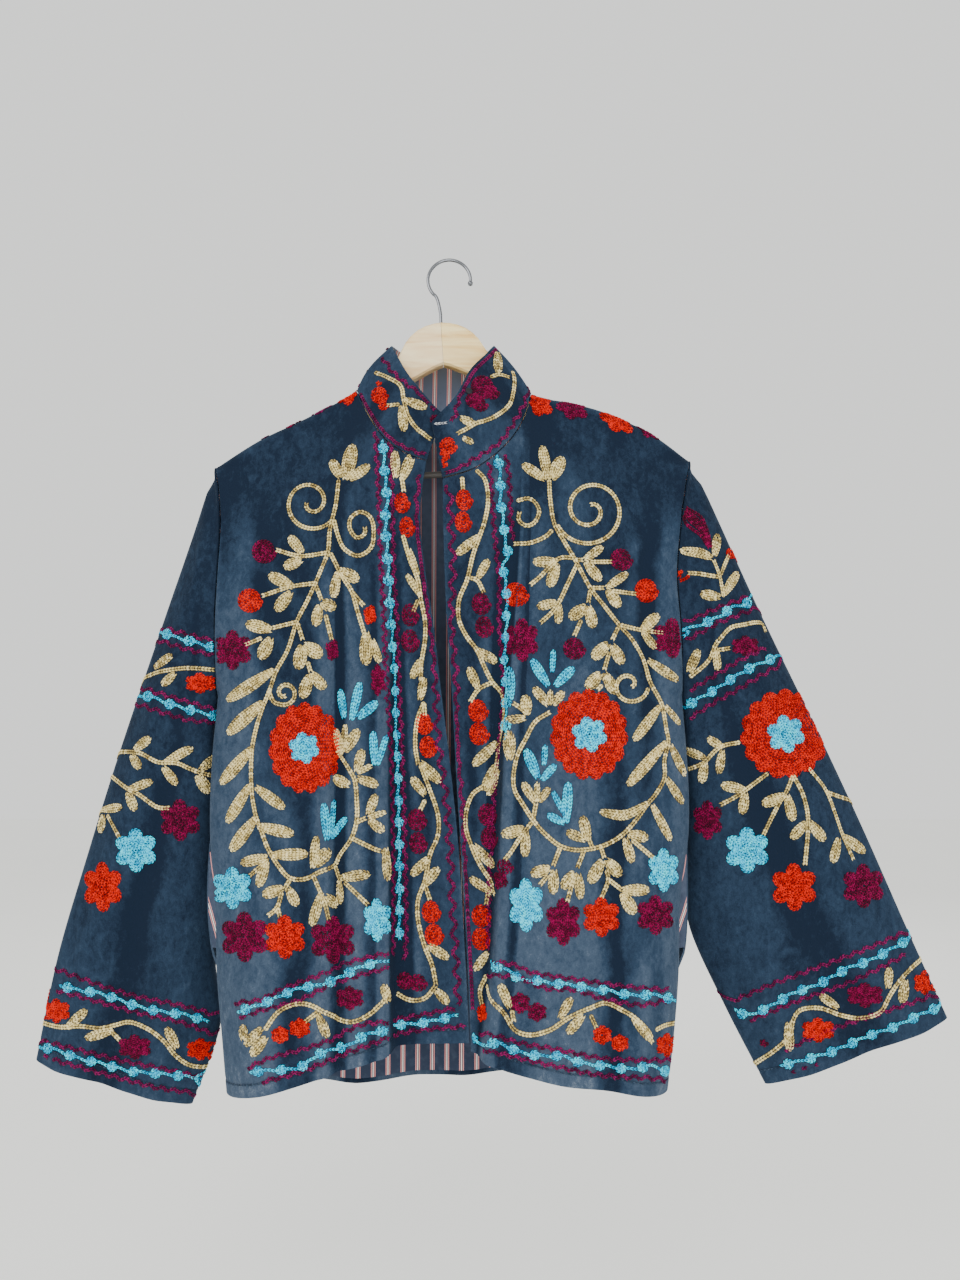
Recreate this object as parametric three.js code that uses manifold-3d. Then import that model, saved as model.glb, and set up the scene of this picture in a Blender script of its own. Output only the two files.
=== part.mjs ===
// Hip-length velvet jacket with a stand collar, hung open-fronted on a wooden hanger.
// Millimetres. +X is the wearer's left, -Y is the front, +Z is up.
// The origin is the inside top of the hanger's hook, where the hook rests on a peg.
// "right" and "left" are the wearer's.
import * as THREE from 'three';
import { mergeVertices } from 'three/addons/utils/BufferGeometryUtils.js';
import Module from 'manifold-3d';

const wasm = await Module();
wasm.setup();

// ---------------------------------------------------------------- driving sizes

const VELVET = 2.0;          // front, back, sleeves: velvet with its backing
const COLLAR_CLOTH = 2.4;    // velvet, stiffening and lining together
const LINING = 1.0;          // striped cotton
const POCKET_CLOTH = 1.0;    // striped cotton
const SEAM_GAP = 0.3;        // clear space between two sewn pieces

const SHOULDER_ROLL = 9.5;   // radius of the cloth's bend over the hanger's arm
const ARMHOLE_DEPTH = 20;    // half of the armhole's width, front to back
const ARMHOLE_Y = -3;        // middle of the armhole, front to back
const UNDERARM_Z = -452;
const HEM_LEVEL = -840;      // about where the hems end; each panel's own hem is in its table
const SEARCH_PASSES = 6;     // rounds to settle where a slanted column meets seam and hem
const FRONT_ROUND = 58;      // how far the front rounds away at the side seam
const BACK_ROUND = 96;       // the same for the back
const SLEEVE_GAP = 2.0;      // armhole seam, wide enough for the corner at the shoulder
const COLLAR_GAP = 1.7;      // neck seam, wide enough for the kink at the shoulder

// Shoulder line, and between the neck points the line that the fronts and back fall from.
const RIDGE = [
  { x: -236, z: -220 },
  { x: -192, z: -192 },
  { x: -153, z: -173 },
  { x: -110, z: -150.5 },
  { x: -95, z: -141 },
  { x: -53, z: -102 },
  { x: -25, z: -75 },
  { x: -8.5, z: -67 },
  { x: 8, z: -75 },
  { x: 38, z: -95 },
  { x: 85, z: -144 },
  { x: 115, z: -151.5 },
  { x: 156, z: -162 },
  { x: 207, z: -186 },
  { x: 244, z: -213 },
];

// How far the cloth stands off the hanger's middle plane, by the drop below the ridge.
const DRAPE = [
  { drop: 9, front: 9, back: 9 },
  { drop: 40, front: 18, back: 18 },
  { drop: 86, front: 33, back: 31 },
  { drop: 157, front: 46, back: 39 },
  { drop: 300, front: 53, back: 45 },
  { drop: 450, front: 57, back: 49 },
  { drop: 600, front: 60, back: 53 },
  { drop: 790, front: 62, back: 56 },
];
const SHOULDER_FLATNESS = 0.42;   // share of that depth lost out by the armholes

// Lines down the right front: side seam, narrow fold, neck point, band fold, front edge.
const FRONT_RIGHT_LINES = [
  { z: -140, side: -234, fold: -117, neck: -95, band: -64, edge: -20 },
  { z: -220, side: -236, fold: -115, neck: -94, band: -61, edge: -20 },
  { z: -250, side: -230, fold: -113.5, neck: -93, band: -60, edge: -24 },
  { z: -287, side: -226, fold: -112, neck: -92, band: -59, edge: -26 },
  { z: -333, side: -227, fold: -110, neck: -90, band: -57, edge: -21 },
  { z: -388, side: -229, fold: -108.5, neck: -88, band: -55, edge: -12.5 },
  { z: -452, side: -228.5, fold: -108, neck: -86, band: -54.5, edge: -5 },
  { z: -515, side: -231.5, fold: -107, neck: -84, band: -54, edge: 3 },
  { z: -588, side: -231, fold: -106, neck: -82, band: -53, edge: 10.8 },
  { z: -646, side: -224.5, fold: -105, neck: -81, band: -52, edge: 15 },
  { z: -720, side: -220.5, fold: -104, neck: -80, band: -51, edge: 19.4 },
  { z: -778, side: -214, fold: -103, neck: -79, band: -50, edge: 22 },
  { z: -840, side: -207, fold: -103, neck: -78, band: -50, edge: 22.4 },
];

// The same lines down the left front.
const FRONT_LEFT_LINES = [
  { z: -140, side: 241, fold: 156, neck: 85, band: 75, edge: -5.5 },
  { z: -213, side: 244, fold: 157, neck: 84, band: 73, edge: -5.5 },
  { z: -245, side: 238, fold: 158, neck: 83, band: 72, edge: -4.3 },
  { z: -280, side: 231.5, fold: 159, neck: 82, band: 71, edge: -3.8 },
  { z: -333, side: 226, fold: 159, neck: 80, band: 68, edge: -2.2 },
  { z: -382, side: 229, fold: 160, neck: 79, band: 64.5, edge: 0 },
  { z: -452, side: 232.5, fold: 160, neck: 76, band: 58.5, edge: 5 },
  { z: -534, side: 236, fold: 160, neck: 74, band: 53.5, edge: 9.6 },
  { z: -588, side: 235, fold: 159, neck: 72, band: 51, edge: 13.2 },
  { z: -646, side: 226, fold: 157, neck: 70, band: 48.5, edge: 17 },
  { z: -720, side: 222.5, fold: 155, neck: 66, band: 42.5, edge: 21.2 },
  { z: -780, side: 216.5, fold: 153, neck: 60, band: 35, edge: 23.6 },
  { z: -840, side: 208, fold: 152, neck: 56, band: 32, edge: 24 },
];

// Side seams of the back, and how far forward the seam lies; it flares where the pockets open.
const BACK_SIDES = [
  { z: -140, right: -234, left: 241, seamY: -3, flare: 0 },
  { z: -216, right: -236, left: 243, seamY: -3, flare: 0 },
  { z: -250, right: -230, left: 237.5, seamY: -3, flare: 0 },
  { z: -287, right: -226, left: 230.5, seamY: -3, flare: 0 },
  { z: -333, right: -227, left: 226, seamY: -3, flare: 0 },
  { z: -388, right: -229, left: 229.5, seamY: -3, flare: 0 },
  { z: -452, right: -228.5, left: 232.5, seamY: -3, flare: 0 },
  { z: -534, right: -232, left: 236, seamY: -9, flare: 0 },
  { z: -588, right: -231, left: 235, seamY: -10, flare: 0 },
  { z: -606, right: -235, left: 236, seamY: -10, flare: 9 },
  { z: -655, right: -236, left: 236, seamY: -10, flare: 11 },
  { z: -702, right: -230, left: 232, seamY: -10, flare: 9 },
  { z: -720, right: -220.5, left: 222.5, seamY: -10, flare: 0 },
  { z: -778, right: -214, left: 216.8, seamY: -10, flare: 0 },
  { z: -840, right: -207, left: 208, seamY: -10, flare: 0 },
];

const NECKLINE_RIGHT = [
  { x: -95, z: -141 },
  { x: -81, z: -171 },
  { x: -62, z: -201 },
  { x: -39, z: -218.5 },
  { x: -19, z: -226 },
  { x: 0, z: -229 },
];
const NECKLINE_LEFT = [
  { x: -14, z: -245 },
  { x: -5.5, z: -244 },
  { x: 32, z: -230 },
  { x: 62, z: -201 },
  { x: 77.5, z: -171 },
  { x: 85, z: -144 },
];
const NECKLINE_BACK = [
  { x: -95, z: -141 },
  { x: -70, z: -148 },
  { x: -35, z: -152 },
  { x: 0, z: -153 },
  { x: 30, z: -152 },
  { x: 62, z: -149 },
  { x: 85, z: -144 },
];

const HEM_RIGHT = [
  { x: -240, z: -829 },
  { x: -207, z: -827 },
  { x: -174, z: -819 },
  { x: -133, z: -808.5 },
  { x: -86, z: -793 },
  { x: -54, z: -783 },
  { x: -44, z: -777 },
  { x: 24, z: -775 },
];
const HEM_LEFT = [
  { x: 20, z: -781 },
  { x: 30, z: -785 },
  { x: 40, z: -790 },
  { x: 68, z: -799 },
  { x: 114, z: -808.5 },
  { x: 161, z: -816 },
  { x: 193, z: -822.5 },
  { x: 215, z: -826 },
  { x: 240, z: -829 },
];
const HEM_BACK = [
  { x: -240, z: -828 },
  { x: -207, z: -828 },
  { x: -162, z: -839 },
  { x: -73, z: -845 },
  { x: -25, z: -840 },
  { x: 46, z: -836 },
  { x: 130, z: -836 },
  { x: 208, z: -826 },
  { x: 240, z: -828 },
];

// Folds. A step sets the cloth beyond its line back; a pinch is a ridge beside a trough;
// a swell is a soft ridge (or trough, when its depth is negative). Widths and depths in mm.
// A fold fades in from "top" to "full" and runs on to the hem, or fades out by "end".
const FOLDS_RIGHT = [
  { kind: 'step', line: 'band', top: -200, full: -560, end: -2000, width: 5, depth: 15 },
  { kind: 'pinch', line: 'fold', top: -240, full: -480, end: -2000, width: 7, depth: 6 },
  { kind: 'swell', x: -203, lowX: -196, top: -235, full: -330, end: -620, width: 15, depth: 4 },
  { kind: 'swell', x: -160, lowX: -168, top: -420, full: -760, end: -2000, width: 24, depth: 4 },
  { kind: 'swell', x: -82, lowX: -76, top: -300, full: -640, end: -2000, width: 13, depth: 3.5 },
];
const FOLDS_LEFT = [
  { kind: 'step', line: 'band', top: -190, full: -560, end: -2000, width: 5, depth: 15 },
  { kind: 'swell', x: 222, lowX: 214, top: -235, full: -330, end: -600, width: 12, depth: 5 },
  { kind: 'swell', x: 196, lowX: 190, top: -240, full: -360, end: -640, width: 10, depth: -4 },
  { kind: 'swell', x: 120, lowX: 104, top: -330, full: -740, end: -2000, width: 22, depth: 4.5 },
  { kind: 'swell', x: 168, lowX: 150, top: -420, full: -780, end: -2000, width: 20, depth: -4 },
];
const FOLDS_BACK = [
  { kind: 'swell', x: -172, lowX: -158, top: -260, full: -700, end: -2000, width: 26, depth: 8 },
  { kind: 'swell', x: -112, lowX: -96, top: -330, full: -760, end: -2000, width: 20, depth: -7 },
  { kind: 'swell', x: -48, lowX: -44, top: -300, full: -740, end: -2000, width: 28, depth: 7 },
  { kind: 'swell', x: 22, lowX: 18, top: -300, full: -760, end: -2000, width: 19, depth: -6 },
  { kind: 'swell', x: 88, lowX: 74, top: -300, full: -720, end: -2000, width: 27, depth: 8 },
  { kind: 'swell', x: 160, lowX: 140, top: -280, full: -700, end: -2000, width: 22, depth: -5 },
];

// Top edge of the collar band, by the share of the neck seam's length from the right end,
// and how far the band rounds outward halfway up.
const COLLAR_TOP = [
  { share: 0.0, x: -4, y: -40.5, z: -178, bulge: 2 },
  { share: 0.06, x: -15, y: -38.5, z: -166, bulge: 2.5 },
  { share: 0.15, x: -39, y: -27, z: -133, bulge: 3 },
  { share: 0.21, x: -53, y: -14, z: -106, bulge: 4.5 },
  { share: 0.265, x: -59, y: 0, z: -91.5, bulge: 6 },
  { share: 0.36, x: -40, y: 25, z: -96, bulge: 3 },
  { share: 0.47, x: -6, y: 35, z: -101, bulge: 3 },
  { share: 0.59, x: 28, y: 26, z: -97, bulge: 3 },
  { share: 0.69, x: 45.5, y: 0, z: -91.5, bulge: 4 },
  { share: 0.75, x: 39, y: -13, z: -104, bulge: 4 },
  { share: 0.82, x: 22, y: -28, z: -127, bulge: 3 },
  { share: 0.92, x: 7, y: -44, z: -161, bulge: 2.5 },
  { share: 1.0, x: -15, y: -52, z: -188, bulge: 2 },
];
const COLLAR_ROWS = [0, 0.22, 0.5, 0.78, 1];
const STUD = { share: 0.865, up: 0.86, radius: 3.6, height: 2.2, lift: 0.4 };

// Sleeves, from the armhole to the cuff: the outer and inner edges of the hanging tube,
// its middle front to back, and half its depth.
const SLEEVE_RIGHT = [
  { at: 0.12, outerX: -255, outerZ: -275, innerX: -234, innerZ: -500, y: 4, depth: 24 },
  { at: 0.3, outerX: -291.5, outerZ: -381, innerX: -235, innerZ: -572, y: 14, depth: 28 },
  { at: 0.5, outerX: -334, outerZ: -510, innerX: -236, innerZ: -650, y: 22, depth: 30 },
  { at: 0.7, outerX: -366, outerZ: -618, innerX: -235, innerZ: -722, y: 26, depth: 27 },
  { at: 0.85, outerX: -390, outerZ: -712, innerX: -228, innerZ: -779, y: 24, depth: 22 },
  { at: 1.0, outerX: -407, outerZ: -812, innerX: -253, innerZ: -854, y: 22, depth: 17 },
];
const SLEEVE_LEFT = [
  { at: 0.12, outerX: 271, outerZ: -266, innerX: 237.5, innerZ: -495, y: 4, depth: 24 },
  { at: 0.3, outerX: 317, outerZ: -366, innerX: 239, innerZ: -560, y: 14, depth: 28 },
  { at: 0.5, outerX: 373, outerZ: -483, innerX: 241, innerZ: -622, y: 22, depth: 30 },
  { at: 0.7, outerX: 420, outerZ: -587, innerX: 244, innerZ: -684, y: 26, depth: 27 },
  { at: 0.85, outerX: 459, outerZ: -683, innerX: 276, innerZ: -758, y: 24, depth: 22 },
  { at: 1.0, outerX: 496, outerZ: -772, innerX: 315, innerZ: -835, y: 22, depth: 17 },
];
// Folds along a sleeve: "turn" is the place round it in degrees from the outer edge, the
// front being 90; it may drift to "lowTurn" at the cuff.
const SLEEVE_FOLDS = [
  { turn: 62, lowTurn: 48, top: 0.05, full: 0.3, end: 1.3, width: 13, depth: 4 },
  { turn: 100, lowTurn: 84, top: 0.12, full: 0.4, end: 1.15, width: 12, depth: -4.5 },
  { turn: 138, lowTurn: 126, top: 0.3, full: 0.6, end: 1.4, width: 13, depth: 4 },
  { turn: 232, lowTurn: 246, top: 0.1, full: 0.4, end: 1.3, width: 14, depth: 4.5 },
  { turn: 285, lowTurn: 296, top: 0.1, full: 0.5, end: 1.3, width: 14, depth: -4 },
];

const POCKET = { top: -607, bottom: -699, bagDrop: 34, gap: 1.6 };

// Hanger, by the distance from its stem along the middle: the drop of its top edge, its
// height and half its thickness.
const HANGER_ARM = [
  { out: 0.15, drop: 0, height: 46, half: 6.5 },
  { out: 8, drop: 0.7, height: 48, half: 6.5 },
  { out: 17, drop: 3, height: 50, half: 6.5 },
  { out: 25, drop: 7, height: 50, half: 6.5 },
  { out: 32, drop: 12.5, height: 48, half: 6.5 },
  { out: 38, drop: 19.5, height: 45, half: 6.5 },
  { out: 45, drop: 32, height: 37, half: 6.5 },
  { out: 56, drop: 48, height: 31, half: 6.5 },
  { out: 68, drop: 65.5, height: 28, half: 6.5 },
  { out: 80, drop: 83.5, height: 26, half: 6.5 },
  { out: 92, drop: 92.5, height: 26, half: 6.5 },
  { out: 104, drop: 95, height: 28, half: 6.5 },
  { out: 118, drop: 97, height: 31, half: 6.5 },
  { out: 150, drop: 105, height: 36, half: 6.2 },
  { out: 180, drop: 119, height: 42, half: 5.6 },
  { out: 201, drop: 132, height: 41, half: 4.8 },
  { out: 211, drop: 139, height: 34, half: 3.8 },
];
const HANGER_TILT = 3.5 * Math.PI / 180;
const HANGER_TOP = { x: -8.5, z: -66.5 };
const BAR = { radius: 3.4, drop: 160, halfLength: 200, sides: 12 };
const HOOK_WIRE = 1.7;       // radius of the hook's wire
const HOOK_RADIUS = 20.5;    // inside radius of the hook's bend
const HOOK_TIP_BALL = 2.9;
const HOOK_STEM = { above: 12, bored: 25, clear: 1 };   // straight above the wood, and its bore

// ---------------------------------------------------------------- interpolation

// Smooth value of one column of a table, at a place in another column.
function lookUp(table, placeColumn, column, place) {
  const sign = table[table.length - 1][placeColumn] > table[0][placeColumn] ? 1 : -1;
  let i = 0;
  while (i < table.length - 2 && sign * place > sign * table[i + 1][placeColumn]) i += 1;
  const a = table[Math.max(i - 1, 0)];
  const b = table[i];
  const c = table[i + 1];
  const d = table[Math.min(i + 2, table.length - 1)];
  const span = c[placeColumn] - b[placeColumn];
  const t = THREE.MathUtils.clamp((place - b[placeColumn]) / span, 0, 1);
  const slopeB = (c[column] - a[column]) / (c[placeColumn] - a[placeColumn]) * span;
  const slopeC = (d[column] - b[column]) / (d[placeColumn] - b[placeColumn]) * span;
  const t2 = t * t;
  const t3 = t2 * t;
  return (2 * t3 - 3 * t2 + 1) * b[column] + (t3 - 2 * t2 + t) * slopeB
    + (3 * t2 - 2 * t3) * c[column] + (t3 - t2) * slopeC;
}

function smoothStep(low, high, value) {
  const t = THREE.MathUtils.clamp((value - low) / (high - low), 0, 1);
  return t * t * (3 - 2 * t);
}

// ---------------------------------------------------------------- cloth walls

function gridNormals(rows, round) {
  const last = rows[0].length - 1;
  return rows.map((row, i) => row.map((point, j) => {
    const before = round ? (j + last) % (last + 1) : Math.max(j - 1, 0);
    const after = round ? (j + 1) % (last + 1) : Math.min(j + 1, last);
    const across = row[after].clone().sub(row[before]);
    const down = rows[Math.min(i + 1, rows.length - 1)][j].clone().sub(rows[Math.max(i - 1, 0)][j]);
    return across.cross(down).normalize();
  }));
}

// Closed wall of the given thickness on both sides of a grid of middle points. A round
// grid joins its last column to its first.
function clothWall(rows, thickness, { round = false, normals = gridNormals(rows, round) } = {}) {
  const rowCount = rows.length;
  const columnCount = rows[0].length;
  const positions = [];
  for (const side of [1, -1]) {
    rows.forEach((row, i) => row.forEach((point, j) => {
      const moved = point.clone().addScaledVector(normals[i][j], side * thickness / 2);
      positions.push(moved.x, moved.y, moved.z);
    }));
  }
  const at = (side, i, j) => side * rowCount * columnCount + i * columnCount + (j % columnCount);
  const index = [];
  const quad = (a, b, c, d) => index.push(a, b, c, a, c, d);
  const spans = round ? columnCount : columnCount - 1;
  for (let i = 0; i < rowCount - 1; i += 1) {
    for (let j = 0; j < spans; j += 1) {
      quad(at(0, i, j), at(0, i, j + 1), at(0, i + 1, j + 1), at(0, i + 1, j));
      quad(at(1, i, j), at(1, i + 1, j), at(1, i + 1, j + 1), at(1, i, j + 1));
    }
  }
  const bottom = rowCount - 1;
  for (let j = 0; j < spans; j += 1) {
    quad(at(0, 0, j), at(1, 0, j), at(1, 0, j + 1), at(0, 0, j + 1));
    quad(at(0, bottom, j), at(0, bottom, j + 1), at(1, bottom, j + 1), at(1, bottom, j));
  }
  if (!round) {
    for (let i = 0; i < rowCount - 1; i += 1) {
      quad(at(0, i, 0), at(0, i + 1, 0), at(1, i + 1, 0), at(1, i, 0));
      quad(at(0, i, spans), at(1, i, spans), at(1, i + 1, spans), at(0, i + 1, spans));
    }
  }
  return solid(positions, index);
}

// Indexed geometry whose faces look outward.
function solid(positions, index) {
  let volume = 0;
  const corner = (k) => new THREE.Vector3().fromArray(positions, 3 * index[k]);
  for (let k = 0; k < index.length; k += 3) {
    volume += corner(k).dot(corner(k + 1).cross(corner(k + 2)));
  }
  if (volume < 0) {
    for (let k = 0; k < index.length; k += 3) {
      [index[k + 1], index[k + 2]] = [index[k + 2], index[k + 1]];
    }
  }
  const geometry = new THREE.BufferGeometry();
  geometry.setAttribute('position', new THREE.Float32BufferAttribute(positions, 3));
  geometry.setIndex(index);
  geometry.computeVertexNormals();
  return geometry;
}

// Closed solid through rings of points, capped flat at both ends.
function loft(rings) {
  const count = rings[0].length;
  const positions = rings.flat().flatMap((point) => [point.x, point.y, point.z]);
  const index = [];
  for (let i = 0; i < rings.length - 1; i += 1) {
    for (let j = 0; j < count; j += 1) {
      const a = i * count + j;
      const b = i * count + (j + 1) % count;
      index.push(a, b, b + count, a, b + count, a + count);
    }
  }
  const last = (rings.length - 1) * count;
  for (let j = 1; j < count - 1; j += 1) {
    index.push(0, j + 1, j, last, last + j, last + j + 1);
  }
  return solid(positions, index);
}

// ---------------------------------------------------------------- body surfaces

function ridgeZ(x) {
  return lookUp(RIDGE, 'x', 'z', x);
}

// Depth of the cloth off the middle plane: a roll over the hanger, then the drape.
function drapeDepth(x, z, column) {
  const drop = ridgeZ(x) - z;
  if (drop <= 0) return 0;
  if (drop < SHOULDER_ROLL) return Math.sqrt(SHOULDER_ROLL ** 2 - (SHOULDER_ROLL - drop) ** 2);
  const beyond = lookUp(DRAPE, 'drop', column, drop) - SHOULDER_ROLL;
  const outward = smoothStep(70, 215, Math.abs(x));
  const upper = 1 - smoothStep(250, 650, drop);
  return SHOULDER_ROLL + beyond * (1 - SHOULDER_FLATNESS * outward * upper);
}

// A fold's middle at a height: along a named line, or slanted from its top to the hem.
function foldCentre(fold, lines, z) {
  if (fold.line) return lookUp(lines, 'z', fold.line, z);
  const low = THREE.MathUtils.clamp((fold.top - z) / (fold.top - HEM_LEVEL), 0, 1);
  return THREE.MathUtils.lerp(fold.x, fold.lowX, low);
}

// Forward push of the folds at a place; a step pulls back everything beyond its line.
function foldPush(folds, lines, towardEdge, x, z) {
  let push = 0;
  for (const fold of folds) {
    const strength = smoothStep(fold.top, fold.full, z) * (1 - smoothStep(fold.full, fold.end, z));
    const centre = foldCentre(fold, lines, z);
    const away = (x - centre) * towardEdge / fold.width;
    if (fold.kind === 'step') {
      const lip = 0.18 * Math.exp(-((away + 1.4) ** 2));
      push += strength * fold.depth * (lip - smoothStep(-0.5, 1, away));
    } else if (fold.kind === 'pinch') {
      const ridge = 0.7 * Math.exp(-((away + 0.7) ** 2));
      push += strength * fold.depth * (ridge - Math.exp(-((away - 0.6) ** 2)));
    } else {
      push += strength * fold.depth * Math.exp(-(away ** 2));
    }
  }
  return push;
}

// The side edge, front to back: an oval armhole above the underarm, then the side seam.
function sideY(z, tipZ, facing) {
  if (z <= UNDERARM_Z) {
    const seam = lookUp(BACK_SIDES, 'z', 'seamY', z);
    const flare = lookUp(BACK_SIDES, 'z', 'flare', z);
    return facing < 0 ? seam - SEAM_GAP / 2 : seam + SEAM_GAP / 2 + Math.max(flare, 0);
  }
  const along = THREE.MathUtils.clamp((tipZ - z) / (tipZ - UNDERARM_Z), 0, 1);
  const middle = ARMHOLE_Y * smoothStep(0, 0.25, along);
  const oval = ARMHOLE_DEPTH * 2 * Math.sqrt(along * (1 - along));
  return middle + facing * Math.max(oval, SEAM_GAP / 2);
}

// Depth of a panel at a place, easing from its side edge into the drape. Above the underarm
// a panel stays on its own side of the middle plane.
function panelY(x, z, side, tipZ, facing, roundness, push) {
  const full = facing * (drapeDepth(x, z, facing < 0 ? 'front' : 'back') + push);
  const edge = sideY(z, tipZ, facing);
  const inward = THREE.MathUtils.clamp(Math.abs(x - side) / roundness, 0, 1);
  const ease = Math.sqrt(1 - (1 - inward) ** 2);
  const y = edge + (full - edge) * ease;
  if (z < UNDERARM_Z) return y;
  return facing * Math.max(facing * y, SEAM_GAP / 2);
}

const RIGHT_FRONT = {
  lines: FRONT_RIGHT_LINES, neckline: NECKLINE_RIGHT, hem: HEM_RIGHT, folds: FOLDS_RIGHT,
  toward: 1, tipZ: -220, neckX: -95,
};
const LEFT_FRONT = {
  lines: FRONT_LEFT_LINES, neckline: NECKLINE_LEFT, hem: HEM_LEFT, folds: FOLDS_LEFT,
  toward: -1, tipZ: -213, neckX: 85,
};

// Columns of a front: how far they lie from one line to the next.
const FRONT_COLUMNS = [
  {
    from: 'side',
    to: 'fold',
    shares: [0, 0.012, 0.045, 0.1, 0.18, 0.28, 0.38, 0.5, 0.62, 0.74, 0.85, 0.94],
  },
  { from: 'fold', to: 'neck', shares: [0, 0.3, 0.6] },
  { from: 'neck', to: 'band', shares: [0, 0.2, 0.4, 0.6, 0.78, 0.9] },
  { from: 'band', to: 'edge', shares: [0, 0.07, 0.14, 0.3, 0.5, 0.7, 0.86, 1] },
];
// Rows of a panel: first the roll over the shoulder, in mm, then shares of the rest.
const ROLL_ROWS = [0, 1.2, 4.5, 9];
const PANEL_ROWS = [0.03, 0.065, 0.105, 0.15, 0.2, 0.25, 0.3, 0.36, 0.42, 0.48, 0.55, 0.62, 0.69, 0.76,
  0.83, 0.89, 0.95, 1];

function dropsBelow(top, hem) {
  const rest = top - hem - SHOULDER_ROLL;
  return [...ROLL_ROWS, ...PANEL_ROWS.map((share) => SHOULDER_ROLL + share * rest)];
}

function frontPoint(front, x, z) {
  const side = lookUp(front.lines, 'z', 'side', z);
  const push = foldPush(front.folds, front.lines, front.toward, x, z);
  const faded = push * smoothStep(0, 60, ridgeZ(x) - z);
  return new THREE.Vector3(x, panelY(x, z, side, front.tipZ, -1, FRONT_ROUND, faded), z);
}

function frontRows(front) {
  const columns = FRONT_COLUMNS.flatMap(({ from, to, shares }) => (
    shares.map((share) => ({ from, to, share }))
  ));
  const xAt = (column, z) => THREE.MathUtils.lerp(
    lookUp(front.lines, 'z', column.from, z),
    lookUp(front.lines, 'z', column.to, z),
    column.share,
  );
  const inNeck = (x) => (x - front.neckX) * front.toward > 0;
  const strips = columns.map((column) => {
    let top = front.tipZ;
    let hem = HEM_LEVEL;
    for (let pass = 0; pass < SEARCH_PASSES; pass += 1) {
      const x = xAt(column, top);
      top = inNeck(x) ? lookUp(front.neckline, 'x', 'z', x) : ridgeZ(x);
      hem = lookUp(front.hem, 'x', 'z', xAt(column, hem));
    }
    return dropsBelow(top, hem).map((drop) => frontPoint(front, xAt(column, top - drop), top - drop));
  });
  return strips[0].map((_, i) => strips.map((strip) => strip[i]));
}

// Columns of the back, from the right side seam to the left one, as shares of the width.
const BACK_SHARES = [0, 0.006, 0.025, 0.055, 0.1, 0.15, 0.2, 0.25];
const BACK_NECK_STEPS = 14;

function backPoint(x, z) {
  const right = lookUp(BACK_SIDES, 'z', 'right', z);
  const left = lookUp(BACK_SIDES, 'z', 'left', z);
  const nearRight = x < (right + left) / 2;
  const push = foldPush(FOLDS_BACK, null, 1, x, z) * smoothStep(0, 80, ridgeZ(x) - z);
  const tip = nearRight ? RIGHT_FRONT.tipZ : LEFT_FRONT.tipZ;
  return new THREE.Vector3(x, panelY(x, z, nearRight ? right : left, tip, 1, BACK_ROUND, push), z);
}

function backColumnPlaces() {
  const places = BACK_SHARES.map((share) => ({ share }));
  for (let k = 0; k <= BACK_NECK_STEPS; k += 1) {
    places.push({ neck: k / BACK_NECK_STEPS });
  }
  return [...places, ...BACK_SHARES.map((share) => ({ share: 1 - share })).reverse()];
}

// X of a back column at a height; the columns between the neck points keep to them.
function backColumnX(place, z) {
  const right = lookUp(BACK_SIDES, 'z', 'right', z);
  const left = lookUp(BACK_SIDES, 'z', 'left', z);
  if (place.neck === undefined) return THREE.MathUtils.lerp(right, left, place.share);
  return THREE.MathUtils.lerp(RIGHT_FRONT.neckX, LEFT_FRONT.neckX, place.neck);
}

function backColumnEnds(place) {
  let top = RIGHT_FRONT.tipZ;
  let hem = HEM_LEVEL;
  for (let pass = 0; pass < SEARCH_PASSES; pass += 1) {
    const x = backColumnX(place, top);
    top = place.neck === undefined ? ridgeZ(x) : lookUp(NECKLINE_BACK, 'x', 'z', x);
    hem = lookUp(HEM_BACK, 'x', 'z', backColumnX(place, hem));
  }
  return { top, hem };
}

function backRows() {
  const strips = backColumnPlaces().map((place) => {
    const { top, hem } = backColumnEnds(place);
    return dropsBelow(top, hem).map((drop) => backPoint(backColumnX(place, top - drop), top - drop));
  });
  return strips[0].map((_, i) => strips.map((strip) => strip[i]));
}

// Keeps the cut edges square to each other where a front meets the back: at the shoulder
// and down the side the wall is not leaned forward or back.
function squareSeams(rows, normals, isSeam) {
  return normals.map((row, i) => row.map((normal, j) => {
    if (!isSeam(i, j, rows[i][j])) return normal;
    return new THREE.Vector3(normal.x, 0, normal.z).normalize();
  }));
}

function frontGeometry(front) {
  const rows = frontRows(front);
  const onShoulder = (point) => (front.neckX - point.x) * front.toward > -0.5;
  const normals = squareSeams(rows, gridNormals(rows, false), (i, j, point) => (
    (i === 0 && onShoulder(point)) || (j === 0 && point.z < UNDERARM_Z + 4)
  ));
  return clothWall(rows, VELVET, { normals });
}

function backGeometry() {
  const rows = backRows();
  const last = rows[0].length - 1;
  const onShoulder = (point) => point.x < RIGHT_FRONT.neckX + 0.5 || point.x > LEFT_FRONT.neckX - 0.5;
  const normals = squareSeams(rows, gridNormals(rows, false), (i, j, point) => (
    (i === 0 && onShoulder(point)) || ((j === 0 || j === last) && point.z < UNDERARM_Z + 4)
  ));
  return clothWall(rows, VELVET, { normals });
}

// ---------------------------------------------------------------- back lining

// Clear of the side seams by whole columns; its drops below the shoulders and the neck seam.
const LINING_INSET = { columns: 3, shoulder: 25, neck: 3, hem: 5 };

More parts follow.
